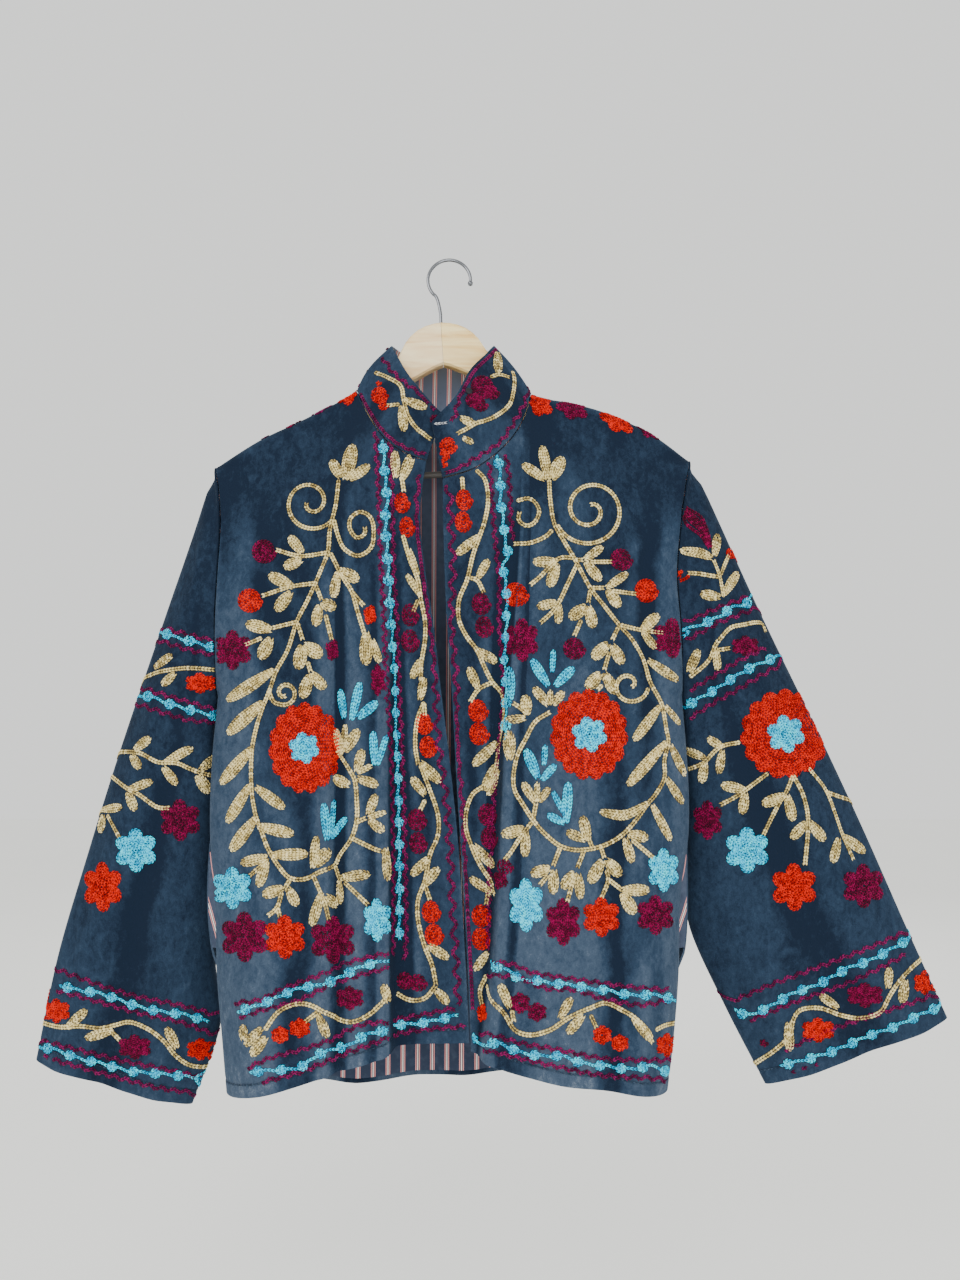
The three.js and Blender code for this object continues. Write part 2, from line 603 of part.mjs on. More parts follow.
function liningGeometry() {
  const offset = VELVET / 2 + SEAM_GAP + LINING / 2;
  const places = backColumnPlaces().slice(LINING_INSET.columns, -LINING_INSET.columns);
  const strips = places.map((place) => {
    const { top, hem } = backColumnEnds(place);
    const inNeck = place.neck > 0 && place.neck < 1;
    const drops = dropsBelow(top, hem).slice(ROLL_ROWS.length);
    drops[drops.length - 1] -= LINING_INSET.hem;
    drops.unshift(inNeck ? LINING_INSET.neck : LINING_INSET.shoulder);
    return drops.map((drop) => offsetPoint(backPoint, backColumnX(place, top - drop), top - drop, offset));
  });
  return clothWall(strips[0].map((_, i) => strips.map((strip) => strip[i])), LINING);
}

// Point moved inward, off a surface that is given by its X and Z.
function offsetPoint(surface, x, z, offset) {
  const step = 1.5;
  const across = surface(x + step, z).sub(surface(x - step, z));
  const up = surface(x, z + step).sub(surface(x, z - step));
  const normal = across.cross(up).normalize();
  const point = surface(x, z);
  const inward = Math.sign(-point.y || 1);
  return point.addScaledVector(normal, offset * Math.sign(normal.y) * inward);
}

// ---------------------------------------------------------------- collar

// The neck seam, from the right front edge round the back to the left front edge.
function neckSeam() {
  const { neckX: rightNeck } = RIGHT_FRONT;
  const { neckX: leftNeck } = LEFT_FRONT;
  const right = frontRows(RIGHT_FRONT)[0].filter((point) => point.x > rightNeck - 0.5);
  const back = backRows()[0].filter((point) => point.x > rightNeck + 1 && point.x < leftNeck - 1);
  const left = frontRows(LEFT_FRONT)[0].filter((point) => point.x < leftNeck + 0.5);
  return [...right.reverse(), ...back, ...left];
}

function collarStations() {
  const seam = neckSeam();
  const lengths = [0];
  for (let i = 1; i < seam.length; i += 1) {
    lengths.push(lengths[i - 1] + seam[i].distanceTo(seam[i - 1]));
  }
  const whole = lengths[lengths.length - 1];
  return seam.map((base, i) => {
    const share = lengths[i] / whole;
    const value = (column) => lookUp(COLLAR_TOP, 'share', column, share);
    const top = new THREE.Vector3(value('x'), value('y'), value('z'));
    return { share, base, top, bulge: value('bulge') };
  });
}

// Point of the band: "up" runs from the neck seam to the top edge.
function collarPoint(station, up) {
  const start = station.base.clone();
  const along = station.top.clone().sub(start).normalize();
  start.addScaledVector(along, COLLAR_GAP);
  const outward = new THREE.Vector3(start.x + 5, start.y * 1.6, 0).normalize();
  return start.lerp(station.top, up).addScaledVector(outward, station.bulge * Math.sin(Math.PI * up));
}

function collarGeometry() {
  const stations = collarStations();
  const rows = COLLAR_ROWS.map((up) => stations.map((station) => collarPoint(station, up)));
  return clothWall(rows, COLLAR_CLOTH);
}

function studMesh() {
  const stations = collarStations();
  const near = stations.reduce((best, station) => (
    Math.abs(station.share - STUD.share) < Math.abs(best.share - STUD.share) ? station : best
  ));
  const next = stations[stations.indexOf(near) + 1];
  const point = collarPoint(near, STUD.up);
  const across = collarPoint(next, STUD.up).sub(point);
  const up = collarPoint(near, STUD.up + 0.1).sub(point);
  const normal = across.cross(up).normalize();
  if (normal.y > 0) normal.negate();
  const profile = [[0, 0], [1, 0], [1, 0.45], [0.8, 0.8], [0.4, 0.97], [0, 1]].map(
    ([r, h]) => new THREE.Vector2(r * STUD.radius, h * STUD.height),
  );
  const mesh = new THREE.Mesh(new THREE.LatheGeometry(profile, 16));
  mesh.quaternion.setFromUnitVectors(new THREE.Vector3(0, 1, 0), normal);
  mesh.position.copy(point).addScaledVector(normal, COLLAR_CLOTH / 2 + STUD.lift);
  return mesh;
}

// ---------------------------------------------------------------- sleeves

const SLEEVE_TURNS = 28;
const SLEEVE_STEPS = [0, 0.03, 0.075, 0.13, 0.2, 0.28, 0.36, 0.44, 0.52, 0.6, 0.68, 0.76, 0.84, 0.92, 1];

function armholeRow(front) {
  const sideX = (z) => lookUp(front.lines, 'z', 'side', z);
  const outerX = sideX(front.tipZ) - SLEEVE_GAP * front.toward;
  const innerX = sideX(UNDERARM_Z) - SLEEVE_GAP * front.toward;
  return {
    at: 0, outerX, outerZ: front.tipZ, innerX, innerZ: UNDERARM_Z, y: ARMHOLE_Y, depth: ARMHOLE_DEPTH,
  };
}

function sleevePoint(front, rows, at, degrees) {
  const value = (column) => lookUp(rows, 'at', column, at);
  const turn = degrees * Math.PI / 180;
  const share = (1 - Math.cos(turn)) / 2;
  const x = THREE.MathUtils.lerp(value('outerX'), value('innerX'), share);
  const z = THREE.MathUtils.lerp(value('outerZ'), value('innerZ'), share);
  const armhole = 1 - smoothStep(0, 0.1, at);
  const tuck = (1 - smoothStep(0, 0.25, share)) * armhole * ARMHOLE_Y;
  let depth = value('depth');
  for (const fold of SLEEVE_FOLDS) {
    const strength = smoothStep(fold.top, fold.full, at) * (1 - smoothStep(1, fold.end, at));
    const away = (degrees - THREE.MathUtils.lerp(fold.turn, fold.lowTurn, at)) / fold.width;
    depth += strength * fold.depth * Math.exp(-(away ** 2));
  }
  const seamX = lookUp(front.lines, 'z', 'side', z) - SLEEVE_GAP * front.toward;
  return new THREE.Vector3(
    THREE.MathUtils.lerp(x, seamX, 1 - smoothStep(0, 0.06, at)),
    value('y') - tuck - depth * Math.sin(turn),
    z,
  );
}

function sleeveGeometry(front, table) {
  const rows = [armholeRow(front), ...table];
  const grid = SLEEVE_STEPS.map((at) => Array.from({ length: SLEEVE_TURNS }, (_, k) => (
    sleevePoint(front, rows, at, 360 * k / SLEEVE_TURNS)
  )));
  return clothWall(grid, VELVET, { round: true });
}

// ---------------------------------------------------------------- pockets

// A flat bag folded at its inner end, its mouth in the side seam; the back layer's lip
// lies on the edge of the back, where it shows beyond the front.
const POCKET_SHARES = [0.022, 0.045, 0.1, 0.18, 0.28, 0.38, 0.5, 0.62, 0.74];
const POCKET_ROWS = 6;

// Point of a strip of the back's edge at a height.
function edgePoint(strip, z) {
  const next = strip.findIndex((point) => point.z < z);
  const above = strip[next - 1];
  return above.clone().lerp(strip[next], (above.z - z) / (above.z - strip[next].z));
}

function pocketLip(front, backEdge, z) {
  const edge = edgePoint(backEdge, z);
  const frontSide = lookUp(front.lines, 'z', 'side', z);
  return [
    new THREE.Vector3(frontSide + 2.5 * front.toward, edge.y - 6, z),
    new THREE.Vector3(edge.x + 0.8 * front.toward, edge.y - SEAM_GAP - POCKET_CLOTH / 2, z),
  ];
}

function pocketGeometry(front) {
  const near = VELVET / 2 + 2 * SEAM_GAP + POCKET_CLOTH / 2;
  const far = near + POCKET.gap + POCKET_CLOTH;
  const surface = (x, z) => frontPoint(front, x, z);
  const backEdge = backRows().map((row) => row.at(front === RIGHT_FRONT ? 0 : -1));
  const rows = [];
  const frontLayer = POCKET_SHARES.map((share) => ({ share, offset: near }));
  const backLayer = POCKET_SHARES.map((share) => ({ share, offset: far })).reverse();
  for (let i = 0; i <= POCKET_ROWS; i += 1) {
    const layers = [...frontLayer, ...backLayer].map(({ share, offset }) => {
      const spread = smoothStep(0, 0.15, share);
      const top = POCKET.top + 6 * spread;
      const bottom = POCKET.bottom - POCKET.bagDrop * spread;
      const z = THREE.MathUtils.lerp(top, bottom, i / POCKET_ROWS);
      const side = lookUp(front.lines, 'z', 'side', z);
      const fold = lookUp(front.lines, 'z', 'fold', z);
      return offsetPoint(surface, THREE.MathUtils.lerp(side, fold, share), z, offset);
    });
    const lipZ = THREE.MathUtils.lerp(POCKET.top, POCKET.bottom, i / POCKET_ROWS);
    rows.push([...layers, ...pocketLip(front, backEdge, lipZ)]);
  }
  return clothWall(rows, POCKET_CLOTH);
}

// ---------------------------------------------------------------- hanger

function toManifold(geometry) {
  const bare = geometry.clone();
  bare.deleteAttribute('normal');
  bare.deleteAttribute('uv');
  const merged = mergeVertices(bare, 1e-4);
  return new wasm.Manifold(new wasm.Mesh({
    numProp: 3,
    vertProperties: new Float32Array(merged.attributes.position.array),
    triVerts: new Uint32Array(merged.index.array),
  }));
}

function fromManifold(shape) {
  const mesh = shape.getMesh();
  const geometry = new THREE.BufferGeometry();
  geometry.setAttribute('position', new THREE.BufferAttribute(new Float32Array(mesh.vertProperties), 3));
  geometry.setIndex(new THREE.BufferAttribute(new Uint32Array(mesh.triVerts), 1));
  geometry.computeVertexNormals();
  return geometry;
}

// Section of an arm: rounded over the top, where the shoulders rest, with eased lower edges.
function armRing(station, side) {
  const { out, drop, height, half } = station;
  const ring = [];
  for (let k = 0; k <= 6; k += 1) {
    const turn = Math.PI * k / 6;
    ring.push([-half * Math.cos(turn), -drop - half * 0.9 + half * 0.9 * Math.sin(turn)]);
  }
  ring.push([half, -drop - height + 2], [half - 2, -drop - height]);
  ring.push([2 - half, -drop - height], [-half, -drop - height + 2]);
  return ring.map(([y, z]) => new THREE.Vector3(side * out, y, z));
}

function straightRod(radius, length, sides) {
  return new THREE.CylinderGeometry(radius, radius, length, sides).rotateZ(Math.PI / 2);
}

// Arm in the hanger's own frame, bored for the trouser bar and for the hook's stem.
function armGeometry(side) {
  const arm = toManifold(loft(HANGER_ARM.map((station) => armRing(station, side))));
  const bore = straightRod(BAR.radius + SEAM_GAP, 2 * BAR.halfLength + 1, 16).translate(0, 0, -BAR.drop);
  const stemBore = HOOK_WIRE + SEAM_GAP;
  const stem = new THREE.CylinderGeometry(stemBore, stemBore, 2 * HOOK_STEM.bored, 12);
  stem.rotateX(Math.PI / 2);
  return fromManifold(arm.subtract(toManifold(bore)).subtract(toManifold(stem)));
}

// Hook in the world's frame: a stem out of the hanger's top, a bend and a ball-ended tip.
function hookGeometry() {
  const middleRadius = HOOK_RADIUS + HOOK_WIRE;
  const lean = new THREE.Vector3(-Math.sin(HANGER_TILT), 0, Math.cos(HANGER_TILT));
  const stemTop = new THREE.Vector3(HANGER_TOP.x, 0, HANGER_TOP.z);
  const centre = new THREE.Vector3(0, 0, HOOK_WIRE - middleRadius);
  const points = [
    stemTop.clone().addScaledVector(lean, HOOK_STEM.clear - HOOK_STEM.bored),
    stemTop.clone(),
    stemTop.clone().addScaledVector(lean, HOOK_STEM.above),
  ];
  for (let degrees = 232; degrees >= -8; degrees -= 12) {
    const turn = degrees * Math.PI / 180;
    points.push(new THREE.Vector3(
      centre.x + middleRadius * Math.cos(turn),
      0,
      centre.z + middleRadius * Math.sin(turn),
    ));
  }
  const path = new THREE.CatmullRomCurve3(points, false, 'centripetal');
  const section = new THREE.Shape().absarc(0, 0, HOOK_WIRE, 0, 2 * Math.PI);
  const wire = new THREE.ExtrudeGeometry(section, {
    steps: 56, curveSegments: 5, bevelEnabled: false, extrudePath: path,
  });
  const tip = points[points.length - 1];
  const ball = new THREE.SphereGeometry(HOOK_TIP_BALL, 10, 7).translate(tip.x, tip.y, tip.z);
  return fromManifold(toManifold(wire).add(toManifold(ball)));
}

// ---------------------------------------------------------------- materials and scene

function material(colour, roughness, metalness = 0) {
  return new THREE.MeshStandardMaterial({ color: colour, roughness, metalness, side: THREE.DoubleSide });
}

const velvet = material(0x3c5468, 0.95);
const striped = material(0x5a6072, 0.85);
const wood = material(0xe4cf9f, 0.55);
const steel = material(0xb8bcc0, 0.3, 1);
const darkMetal = material(0x23262b, 0.4, 0.6);

const group = new THREE.Group();

function addPiece(parent, name, geometry, look) {
  const mesh = new THREE.Mesh(geometry, look);
  mesh.name = name;
  parent.add(mesh);
}

addPiece(group, 'front_right', frontGeometry(RIGHT_FRONT), velvet);
addPiece(group, 'front_left', frontGeometry(LEFT_FRONT), velvet);
addPiece(group, 'back', backGeometry(), velvet);
addPiece(group, 'back_lining', liningGeometry(), striped);
addPiece(group, 'sleeve_right', sleeveGeometry(RIGHT_FRONT, SLEEVE_RIGHT), velvet);
addPiece(group, 'sleeve_left', sleeveGeometry(LEFT_FRONT, SLEEVE_LEFT), velvet);
addPiece(group, 'collar', collarGeometry(), velvet);
addPiece(group, 'pocket_right', pocketGeometry(RIGHT_FRONT), striped);
addPiece(group, 'pocket_left', pocketGeometry(LEFT_FRONT), striped);

const stud = studMesh();
stud.name = 'collar_stud';
stud.material = darkMetal;
group.add(stud);

const hanger = new THREE.Group();
hanger.position.set(HANGER_TOP.x, 0, HANGER_TOP.z);
hanger.rotation.y = -HANGER_TILT;
addPiece(hanger, 'hanger_arm_right', armGeometry(-1), wood);
addPiece(hanger, 'hanger_arm_left', armGeometry(1), wood);
const bar = straightRod(BAR.radius, 2 * BAR.halfLength, BAR.sides).translate(0, 0, -BAR.drop);
addPiece(hanger, 'hanger_bar', bar, wood);
group.add(hanger);
addPiece(group, 'hanger_hook', hookGeometry(), steel);

export default group;
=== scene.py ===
"""Look of the embroidered velvet jacket on its wooden hanger.

Sizes are in millimetres; meshes are written in metres. +X is the wearer's left, -Y the
front, +Z up, and the origin is the inside top of the hanger's hook. The cloth follows the
same tables as the solids, on finer grids and with more creases. Chain stitch is laid on
the cloth along lines drawn in the photograph's frame, 960 by 1280 pixels.
"""
import math
from functools import partial

import bpy
import numpy as np
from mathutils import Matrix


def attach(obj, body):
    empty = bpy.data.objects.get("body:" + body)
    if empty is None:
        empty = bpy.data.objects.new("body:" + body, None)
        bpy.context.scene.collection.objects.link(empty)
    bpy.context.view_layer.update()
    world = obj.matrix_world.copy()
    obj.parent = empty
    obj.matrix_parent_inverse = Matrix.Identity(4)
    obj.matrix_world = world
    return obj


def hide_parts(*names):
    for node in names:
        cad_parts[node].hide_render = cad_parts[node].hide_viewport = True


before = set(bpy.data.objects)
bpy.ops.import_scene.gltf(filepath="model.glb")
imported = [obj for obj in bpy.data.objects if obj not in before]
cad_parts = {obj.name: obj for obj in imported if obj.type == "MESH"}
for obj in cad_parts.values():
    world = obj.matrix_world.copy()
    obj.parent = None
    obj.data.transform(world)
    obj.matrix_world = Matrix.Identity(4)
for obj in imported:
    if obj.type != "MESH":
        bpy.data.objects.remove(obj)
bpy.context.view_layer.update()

# -------------------- driving sizes

VELVET, COLLAR_CLOTH, LINING, POCKET_CLOTH = 2.0, 2.4, 1.0, 1.0
SEAM_GAP = 0.3
SHOULDER_ROLL = 9.5      # radius of the bend over the hanger's arm
ARMHOLE_DEPTH, ARMHOLE_Y = 20, -3
UNDERARM_Z = -452
HEM_LEVEL = -840
SEARCH_PASSES = 6
FRONT_ROUND, BACK_ROUND = 58, 96
SLEEVE_GAP, COLLAR_GAP = 2.0, 1.7
SHOULDER_FLATNESS = 0.42
FLAT_ACROSS = (70, 215)  # from the middle outwards, where a shoulder lies flatter
FLAT_DOWN = (250, 650)   # and how far down that fades out
FRONT_CALM, BACK_CALM = (6, 40), (6, 50)    # creases fade in over this distance from the side seam
FRONT_FADE, BACK_FADE = (0, 60), (0, 80)    # folds fade in over this drop below the shoulder
SLEEVE_LENGTH = 480      # for heights above a sleeve's hem
SLEEVE_SCALE = 400       # degrees round a sleeve that count as much as its whole length, for creases

# Camera: where it stands, its pitch, and its focal length in pixels of the frame.
EYE = np.array([32.0, -965.0, -483.0])
PITCH = math.radians(5.1)
FOCAL = 961.0
CENTRE_X, CENTRE_Y, FRAME_HEIGHT = 480, 640, 1280
SENSOR = 36.0


def table(names, rows):
    return dict(zip(names.split(), np.array(rows, float).T))


RIDGE = table("x z", [
    (-236, -220), (-192, -192), (-153, -173), (-110, -150.5), (-95, -141), (-53, -102),
    (-25, -75), (-8.5, -67), (8, -75), (38, -95), (85, -144), (115, -151.5), (156, -162),
    (207, -186), (244, -213),
])
DRAPE = table("drop front back", [
    (9, 9, 9), (40, 18, 18), (86, 33, 31), (157, 46, 39), (300, 53, 45), (450, 57, 49),
    (600, 60, 53), (790, 62, 56),
])
FRONT_RIGHT_LINES = table("z side fold neck band edge", [
    (-140, -234, -117, -95, -64, -20), (-220, -236, -115, -94, -61, -20),
    (-250, -230, -113.5, -93, -60, -24), (-287, -226, -112, -92, -59, -26),
    (-333, -227, -110, -90, -57, -21), (-388, -229, -108.5, -88, -55, -12.5),
    (-452, -228.5, -108, -86, -54.5, -5), (-515, -231.5, -107, -84, -54, 3),
    (-588, -231, -106, -82, -53, 10.8), (-646, -224.5, -105, -81, -52, 15),
    (-720, -220.5, -104, -80, -51, 19.4), (-778, -214, -103, -79, -50, 22),
    (-840, -207, -103, -78, -50, 22.4),
])
FRONT_LEFT_LINES = table("z side fold neck band edge", [
    (-140, 241, 156, 85, 75, -5.5), (-213, 244, 157, 84, 73, -5.5),
    (-245, 238, 158, 83, 72, -4.3), (-280, 231.5, 159, 82, 71, -3.8),
    (-333, 226, 159, 80, 68, -2.2), (-382, 229, 160, 79, 64.5, 0),
    (-452, 232.5, 160, 76, 58.5, 5), (-534, 236, 160, 74, 53.5, 9.6),
    (-588, 235, 159, 72, 51, 13.2), (-646, 226, 157, 70, 48.5, 17),
    (-720, 222.5, 155, 66, 42.5, 21.2), (-780, 216.5, 153, 60, 35, 23.6),
    (-840, 208, 152, 56, 32, 24),
])
BACK_SIDES = table("z right left seamY flare", [
    (-140, -234, 241, -3, 0), (-216, -236, 243, -3, 0), (-250, -230, 237.5, -3, 0),
    (-287, -226, 230.5, -3, 0), (-333, -227, 226, -3, 0), (-388, -229, 229.5, -3, 0),
    (-452, -228.5, 232.5, -3, 0), (-534, -232, 236, -9, 0), (-588, -231, 235, -10, 0),
    (-606, -235, 236, -10, 9), (-655, -236, 236, -10, 11), (-702, -230, 232, -10, 9),
    (-720, -220.5, 222.5, -10, 0), (-778, -214, 216.8, -10, 0), (-840, -207, 208, -10, 0),
])
NECKLINE_RIGHT = table("x z", [
    (-95, -141), (-81, -171), (-62, -201), (-39, -218.5), (-19, -226), (0, -229),
])
NECKLINE_LEFT = table("x z", [
    (-14, -245), (-5.5, -244), (32, -230), (62, -201), (77.5, -171), (85, -144),
])
NECKLINE_BACK = table("x z", [
    (-95, -141), (-70, -148), (-35, -152), (0, -153), (30, -152), (62, -149), (85, -144),
])
HEM_RIGHT = table("x z", [
    (-240, -829), (-207, -827), (-174, -819), (-133, -808.5), (-86, -793), (-54, -783),
    (-44, -777), (24, -775),
])
HEM_LEFT = table("x z", [
    (20, -781), (30, -785), (40, -790), (68, -799), (114, -808.5), (161, -816), (193, -822.5),
    (215, -826), (240, -829),
])
HEM_BACK = table("x z", [
    (-240, -828), (-207, -828), (-162, -839), (-73, -845), (-25, -840), (46, -836), (130, -836),
    (208, -826), (240, -828),
])
COLLAR_TOP = table("share x y z bulge", [
    (0, -4, -40.5, -178, 2), (0.06, -15, -38.5, -166, 2.5), (0.15, -39, -27, -133, 3),
    (0.21, -53, -14, -106, 4.5), (0.265, -59, 0, -91.5, 6), (0.36, -40, 25, -96, 3),
    (0.47, -6, 35, -101, 3), (0.59, 28, 26, -97, 3), (0.69, 45.5, 0, -91.5, 4),
    (0.75, 39, -13, -104, 4), (0.82, 22, -28, -127, 3), (0.92, 7, -44, -161, 2.5),
    (1, -15, -52, -188, 2),
])
SLEEVE_RIGHT = table("at outerX outerZ innerX innerZ y depth", [
    (0.12, -255, -275, -234, -500, 4, 24), (0.3, -291.5, -381, -235, -572, 14, 28),
    (0.5, -334, -510, -236, -650, 22, 30), (0.7, -366, -618, -235, -722, 26, 27),
    (0.85, -390, -712, -228, -779, 24, 22), (1, -407, -812, -253, -854, 22, 17),
])
SLEEVE_LEFT = table("at outerX outerZ innerX innerZ y depth", [
    (0.12, 271, -266, 237.5, -495, 4, 24), (0.3, 317, -366, 239, -560, 14, 28),
    (0.5, 373, -483, 241, -622, 22, 30), (0.7, 420, -587, 244, -684, 26, 27),
    (0.85, 459, -683, 276, -758, 24, 22), (1, 496, -772, 315, -835, 22, 17),
])
# Each fold: its kind, its X at the top and at the hem (or the line it follows), where it starts, is full
# and has faded out, width and depth.
FOLDS_RIGHT = [
    ("step", "band", "band", -200, -560, -2000, 5, 15), ("pinch", "fold", "fold", -240, -480, -2000, 7, 6),
    ("swell", -203, -196, -235, -330, -620, 15, 4), ("swell", -160, -168, -420, -760, -2000, 24, 4),
    ("swell", -82, -76, -300, -640, -2000, 13, 3.5),
]
FOLDS_LEFT = [
    ("step", "band", "band", -190, -560, -2000, 5, 15), ("swell", 222, 214, -235, -330, -600, 12, 5),
    ("swell", 196, 190, -240, -360, -640, 10, -4), ("swell", 120, 104, -330, -740, -2000, 22, 4.5),
    ("swell", 168, 150, -420, -780, -2000, 20, -4),
]
FOLDS_BACK = [
    ("swell", -172, -158, -260, -700, -2000, 26, 8), ("swell", -112, -96, -330, -760, -2000, 20, -7),
    ("swell", -48, -44, -300, -740, -2000, 28, 7), ("swell", 22, 18, -300, -760, -2000, 19, -6),
    ("swell", 88, 74, -300, -720, -2000, 27, 8), ("swell", 160, 140, -280, -700, -2000, 22, -5),
]
# The same on a sleeve, without the kind: degrees round it, and places along it.
SLEEVE_FOLDS = [
    (62, 48, 0.05, 0.3, 1.3, 13, 4), (100, 84, 0.12, 0.4, 1.15, 12, -4.5), (138, 126, 0.3, 0.6, 1.4, 13, 4),
    (232, 246, 0.1, 0.4, 1.3, 14, 4.5), (285, 296, 0.1, 0.5, 1.3, 14, -4),
]

# Soft ridges and troughs: x and z at both ends, width and depth in mm.
CREASES_RIGHT = [
    (-205, -300, -150, -360, 9, 1.6), (-190, -345, -120, -420, 10, -1.4), (-222, -400, -150, -455, 9, 1.5),
    (-226, -470, -170, -520, 10, 1.2), (-150, -250, -128, -330, 8, 1.2), (-170, -540, -125, -640, 12, 1.6),
    (-215, -600, -150, -690, 12, -1.5), (-95, -250, -98, -420, 6, 1.4), (-68, -300, -64, -520, 6, -1.6),
    (-40, -330, -34, -560, 7, 1.3), (-24, -420, -16, -640, 6, -1.2), (-30, -620, -22, -760, 7, 1.5),
    (-185, -700, -176, -815, 10, 1.8), (-140, -690, -146, -805, 9, -1.6), (-120, -700, -124, -800, 7, 1.5),
    (-208, -690, -200, -820, 8, -1.4), (-92, -640, -94, -790, 5, 1.2),
]
CREASES_LEFT = [
    (205, -290, 150, -345, 9, 1.6), (225, -350, 165, -400, 9, -1.5), (228, -420, 170, -470, 9, 1.5),
    (120, -220, 128, -330, 9, 1.3), (96, -250, 92, -400, 7, 1.5), (110, -380, 100, -520, 9, -1.4),
    (56, -260, 50, -430, 6, -1.5), (40, -380, 36, -560, 6, 1.3), (24, -460, 26, -640, 5, -1.1),
    (215, -560, 160, -640, 11, 1.4), (200, -640, 150, -740, 12, -1.5), (92, -560, 84, -720, 9, 1.6),
    (186, -690, 182, -820, 9, 1.8), (134, -670, 128, -800, 9, 1.6), (106, -700, 98, -800, 7, -1.5),
    (76, -640, 68, -790, 7, 1.6), (208, -700, 205, -820, 7, -1.4),
]
CREASES_BACK = [
    (-215, -300, -130, -350, 11, 1.8), (-220, -380, -120, -430, 12, -1.6), (-225, -450, -150, -520, 11, 1.6),
    (215, -290, 120, -340, 11, 1.8), (225, -370, 130, -420, 12, -1.6), (230, -440, 150, -500, 11, 1.6),
    (-60, -170, -30, -250, 12, 1.2), (50, -168, 30, -260, 12, -1.2), (-140, -560, -150, -800, 11, 2),
    (-75, -520, -80, -810, 10, -1.8), (0, -480, -4, -800, 12, 2), (55, -560, 50, -820, 9, -1.8),
    (120, -520, 112, -810, 11, 2), (185, -600, 176, -815, 10, -1.8), (-195, -600, -186, -815, 9, 1.6),
]
# The same on a sleeve: degrees round it and place along it at both ends, width in degrees, depth.
CREASES_SLEEVE = [
    (40, 0.06, 110, 0.3, 9, 1.6), (66, 0.1, 138, 0.36, 9, -1.5), (120, 0.2, 70, 0.42, 10, 1.5),
    (150, 0.34, 100, 0.52, 9, 1.6), (48, 0.4, 84, 0.62, 9, -1.4), (128, 0.5, 92, 0.74, 9, 1.7),
    (52, 0.62, 70, 0.86, 9, 1.5), (112, 0.7, 104, 0.97, 8, -1.5), (320, 0.1, 250, 0.34, 10, 1.6),
    (220, 0.24, 262, 0.5, 10, -1.6), (300, 0.44, 268, 0.7, 10, 1.6), (236, 0.66, 246, 0.95, 9, 1.6),
]

RIGHT_FRONT = {
    "lines": FRONT_RIGHT_LINES, "neckline": NECKLINE_RIGHT, "hem": HEM_RIGHT, "folds": FOLDS_RIGHT,
    "creases": CREASES_RIGHT, "toward": 1, "tip": -220, "neck": -95,
}
LEFT_FRONT = {
    "lines": FRONT_LEFT_LINES, "neckline": NECKLINE_LEFT, "hem": HEM_LEFT, "folds": FOLDS_LEFT,
    "creases": CREASES_LEFT, "toward": -1, "tip": -213, "neck": 85,
}
FRONTS = {"right": RIGHT_FRONT, "left": LEFT_FRONT}

# -------------------- interpolation


def look_up(rows, key, column, place):
    """Smooth value of one column of a table, at places in another column."""
    xs, ys = rows[key], rows[column]
    place = np.asarray(place, float)
    sign = 1 if xs[-1] > xs[0] else -1
    last = len(xs) - 1
    i = np.searchsorted(sign * xs[1:last], sign * place, side="left")
    a, c, d = np.maximum(i - 1, 0), i + 1, np.minimum(i + 2, last)
    span = xs[c] - xs[i]
    t = np.clip((place - xs[i]) / span, 0, 1)
    slope_b = (ys[c] - ys[a]) / (xs[c] - xs[a]) * span
    slope_c = (ys[d] - ys[i]) / (xs[d] - xs[i]) * span
    t2, t3 = t * t, t * t * t
    return ((2 * t3 - 3 * t2 + 1) * ys[i] + (t3 - 2 * t2 + t) * slope_b
            + (3 * t2 - 2 * t3) * ys[c] + (t3 - t2) * slope_c)


def smooth_step(low, high, value):
    t = np.clip((value - low) / (high - low), 0, 1)
    return t * t * (3 - 2 * t)


def unit(v):
    return v / np.maximum(np.linalg.norm(v, axis=-1, keepdims=True), 1e-9)


def lengths_along(line):
    """Length of a line in space up to each of its points."""
    return np.concatenate([[0], np.cumsum(np.linalg.norm(np.diff(line, axis=0), axis=1))])


# -------------------- body surfaces


def ridge_z(x):
    return look_up(RIDGE, "x", "z", x)


def drape_depth(x, z, column):
    """Depth off the middle plane: a roll over the hanger, then the drape."""
    drop = ridge_z(x) - z
    roll = np.sqrt(SHOULDER_ROLL ** 2 - (SHOULDER_ROLL - np.clip(drop, 0, SHOULDER_ROLL)) ** 2)
    beyond = look_up(DRAPE, "drop", column, drop) - SHOULDER_ROLL
    outward = smooth_step(*FLAT_ACROSS, np.abs(x))
    upper = 1 - smooth_step(*FLAT_DOWN, drop)
    hung = SHOULDER_ROLL + beyond * (1 - SHOULDER_FLATNESS * outward * upper)
    return np.where(drop < SHOULDER_ROLL, roll, hung)


def fold_push(folds, lines, toward, x, z):
    """Forward push of the folds at a place; a step pulls back everything beyond its line."""
    push = 0
    for kind, high_x, low_x, top, full, end, width, depth in folds:
        strength = smooth_step(top, full, z) * (1 - smooth_step(full, end, z))
        if kind == "swell":
            centre = high_x + (low_x - high_x) * np.clip((top - z) / (top - HEM_LEVEL), 0, 1)
        else:
            centre = look_up(lines, "z", high_x, z)
        away = (x - centre) * toward / width
        if kind == "step":
            shape = 0.18 * np.exp(-((away + 1.4) ** 2)) - smooth_step(-0.5, 1, away)
        elif kind == "pinch":
            shape = 0.7 * np.exp(-((away + 0.7) ** 2)) - np.exp(-((away - 0.6) ** 2))
        else:
            shape = np.exp(-(away ** 2))
        push = push + strength * depth * shape
    return push


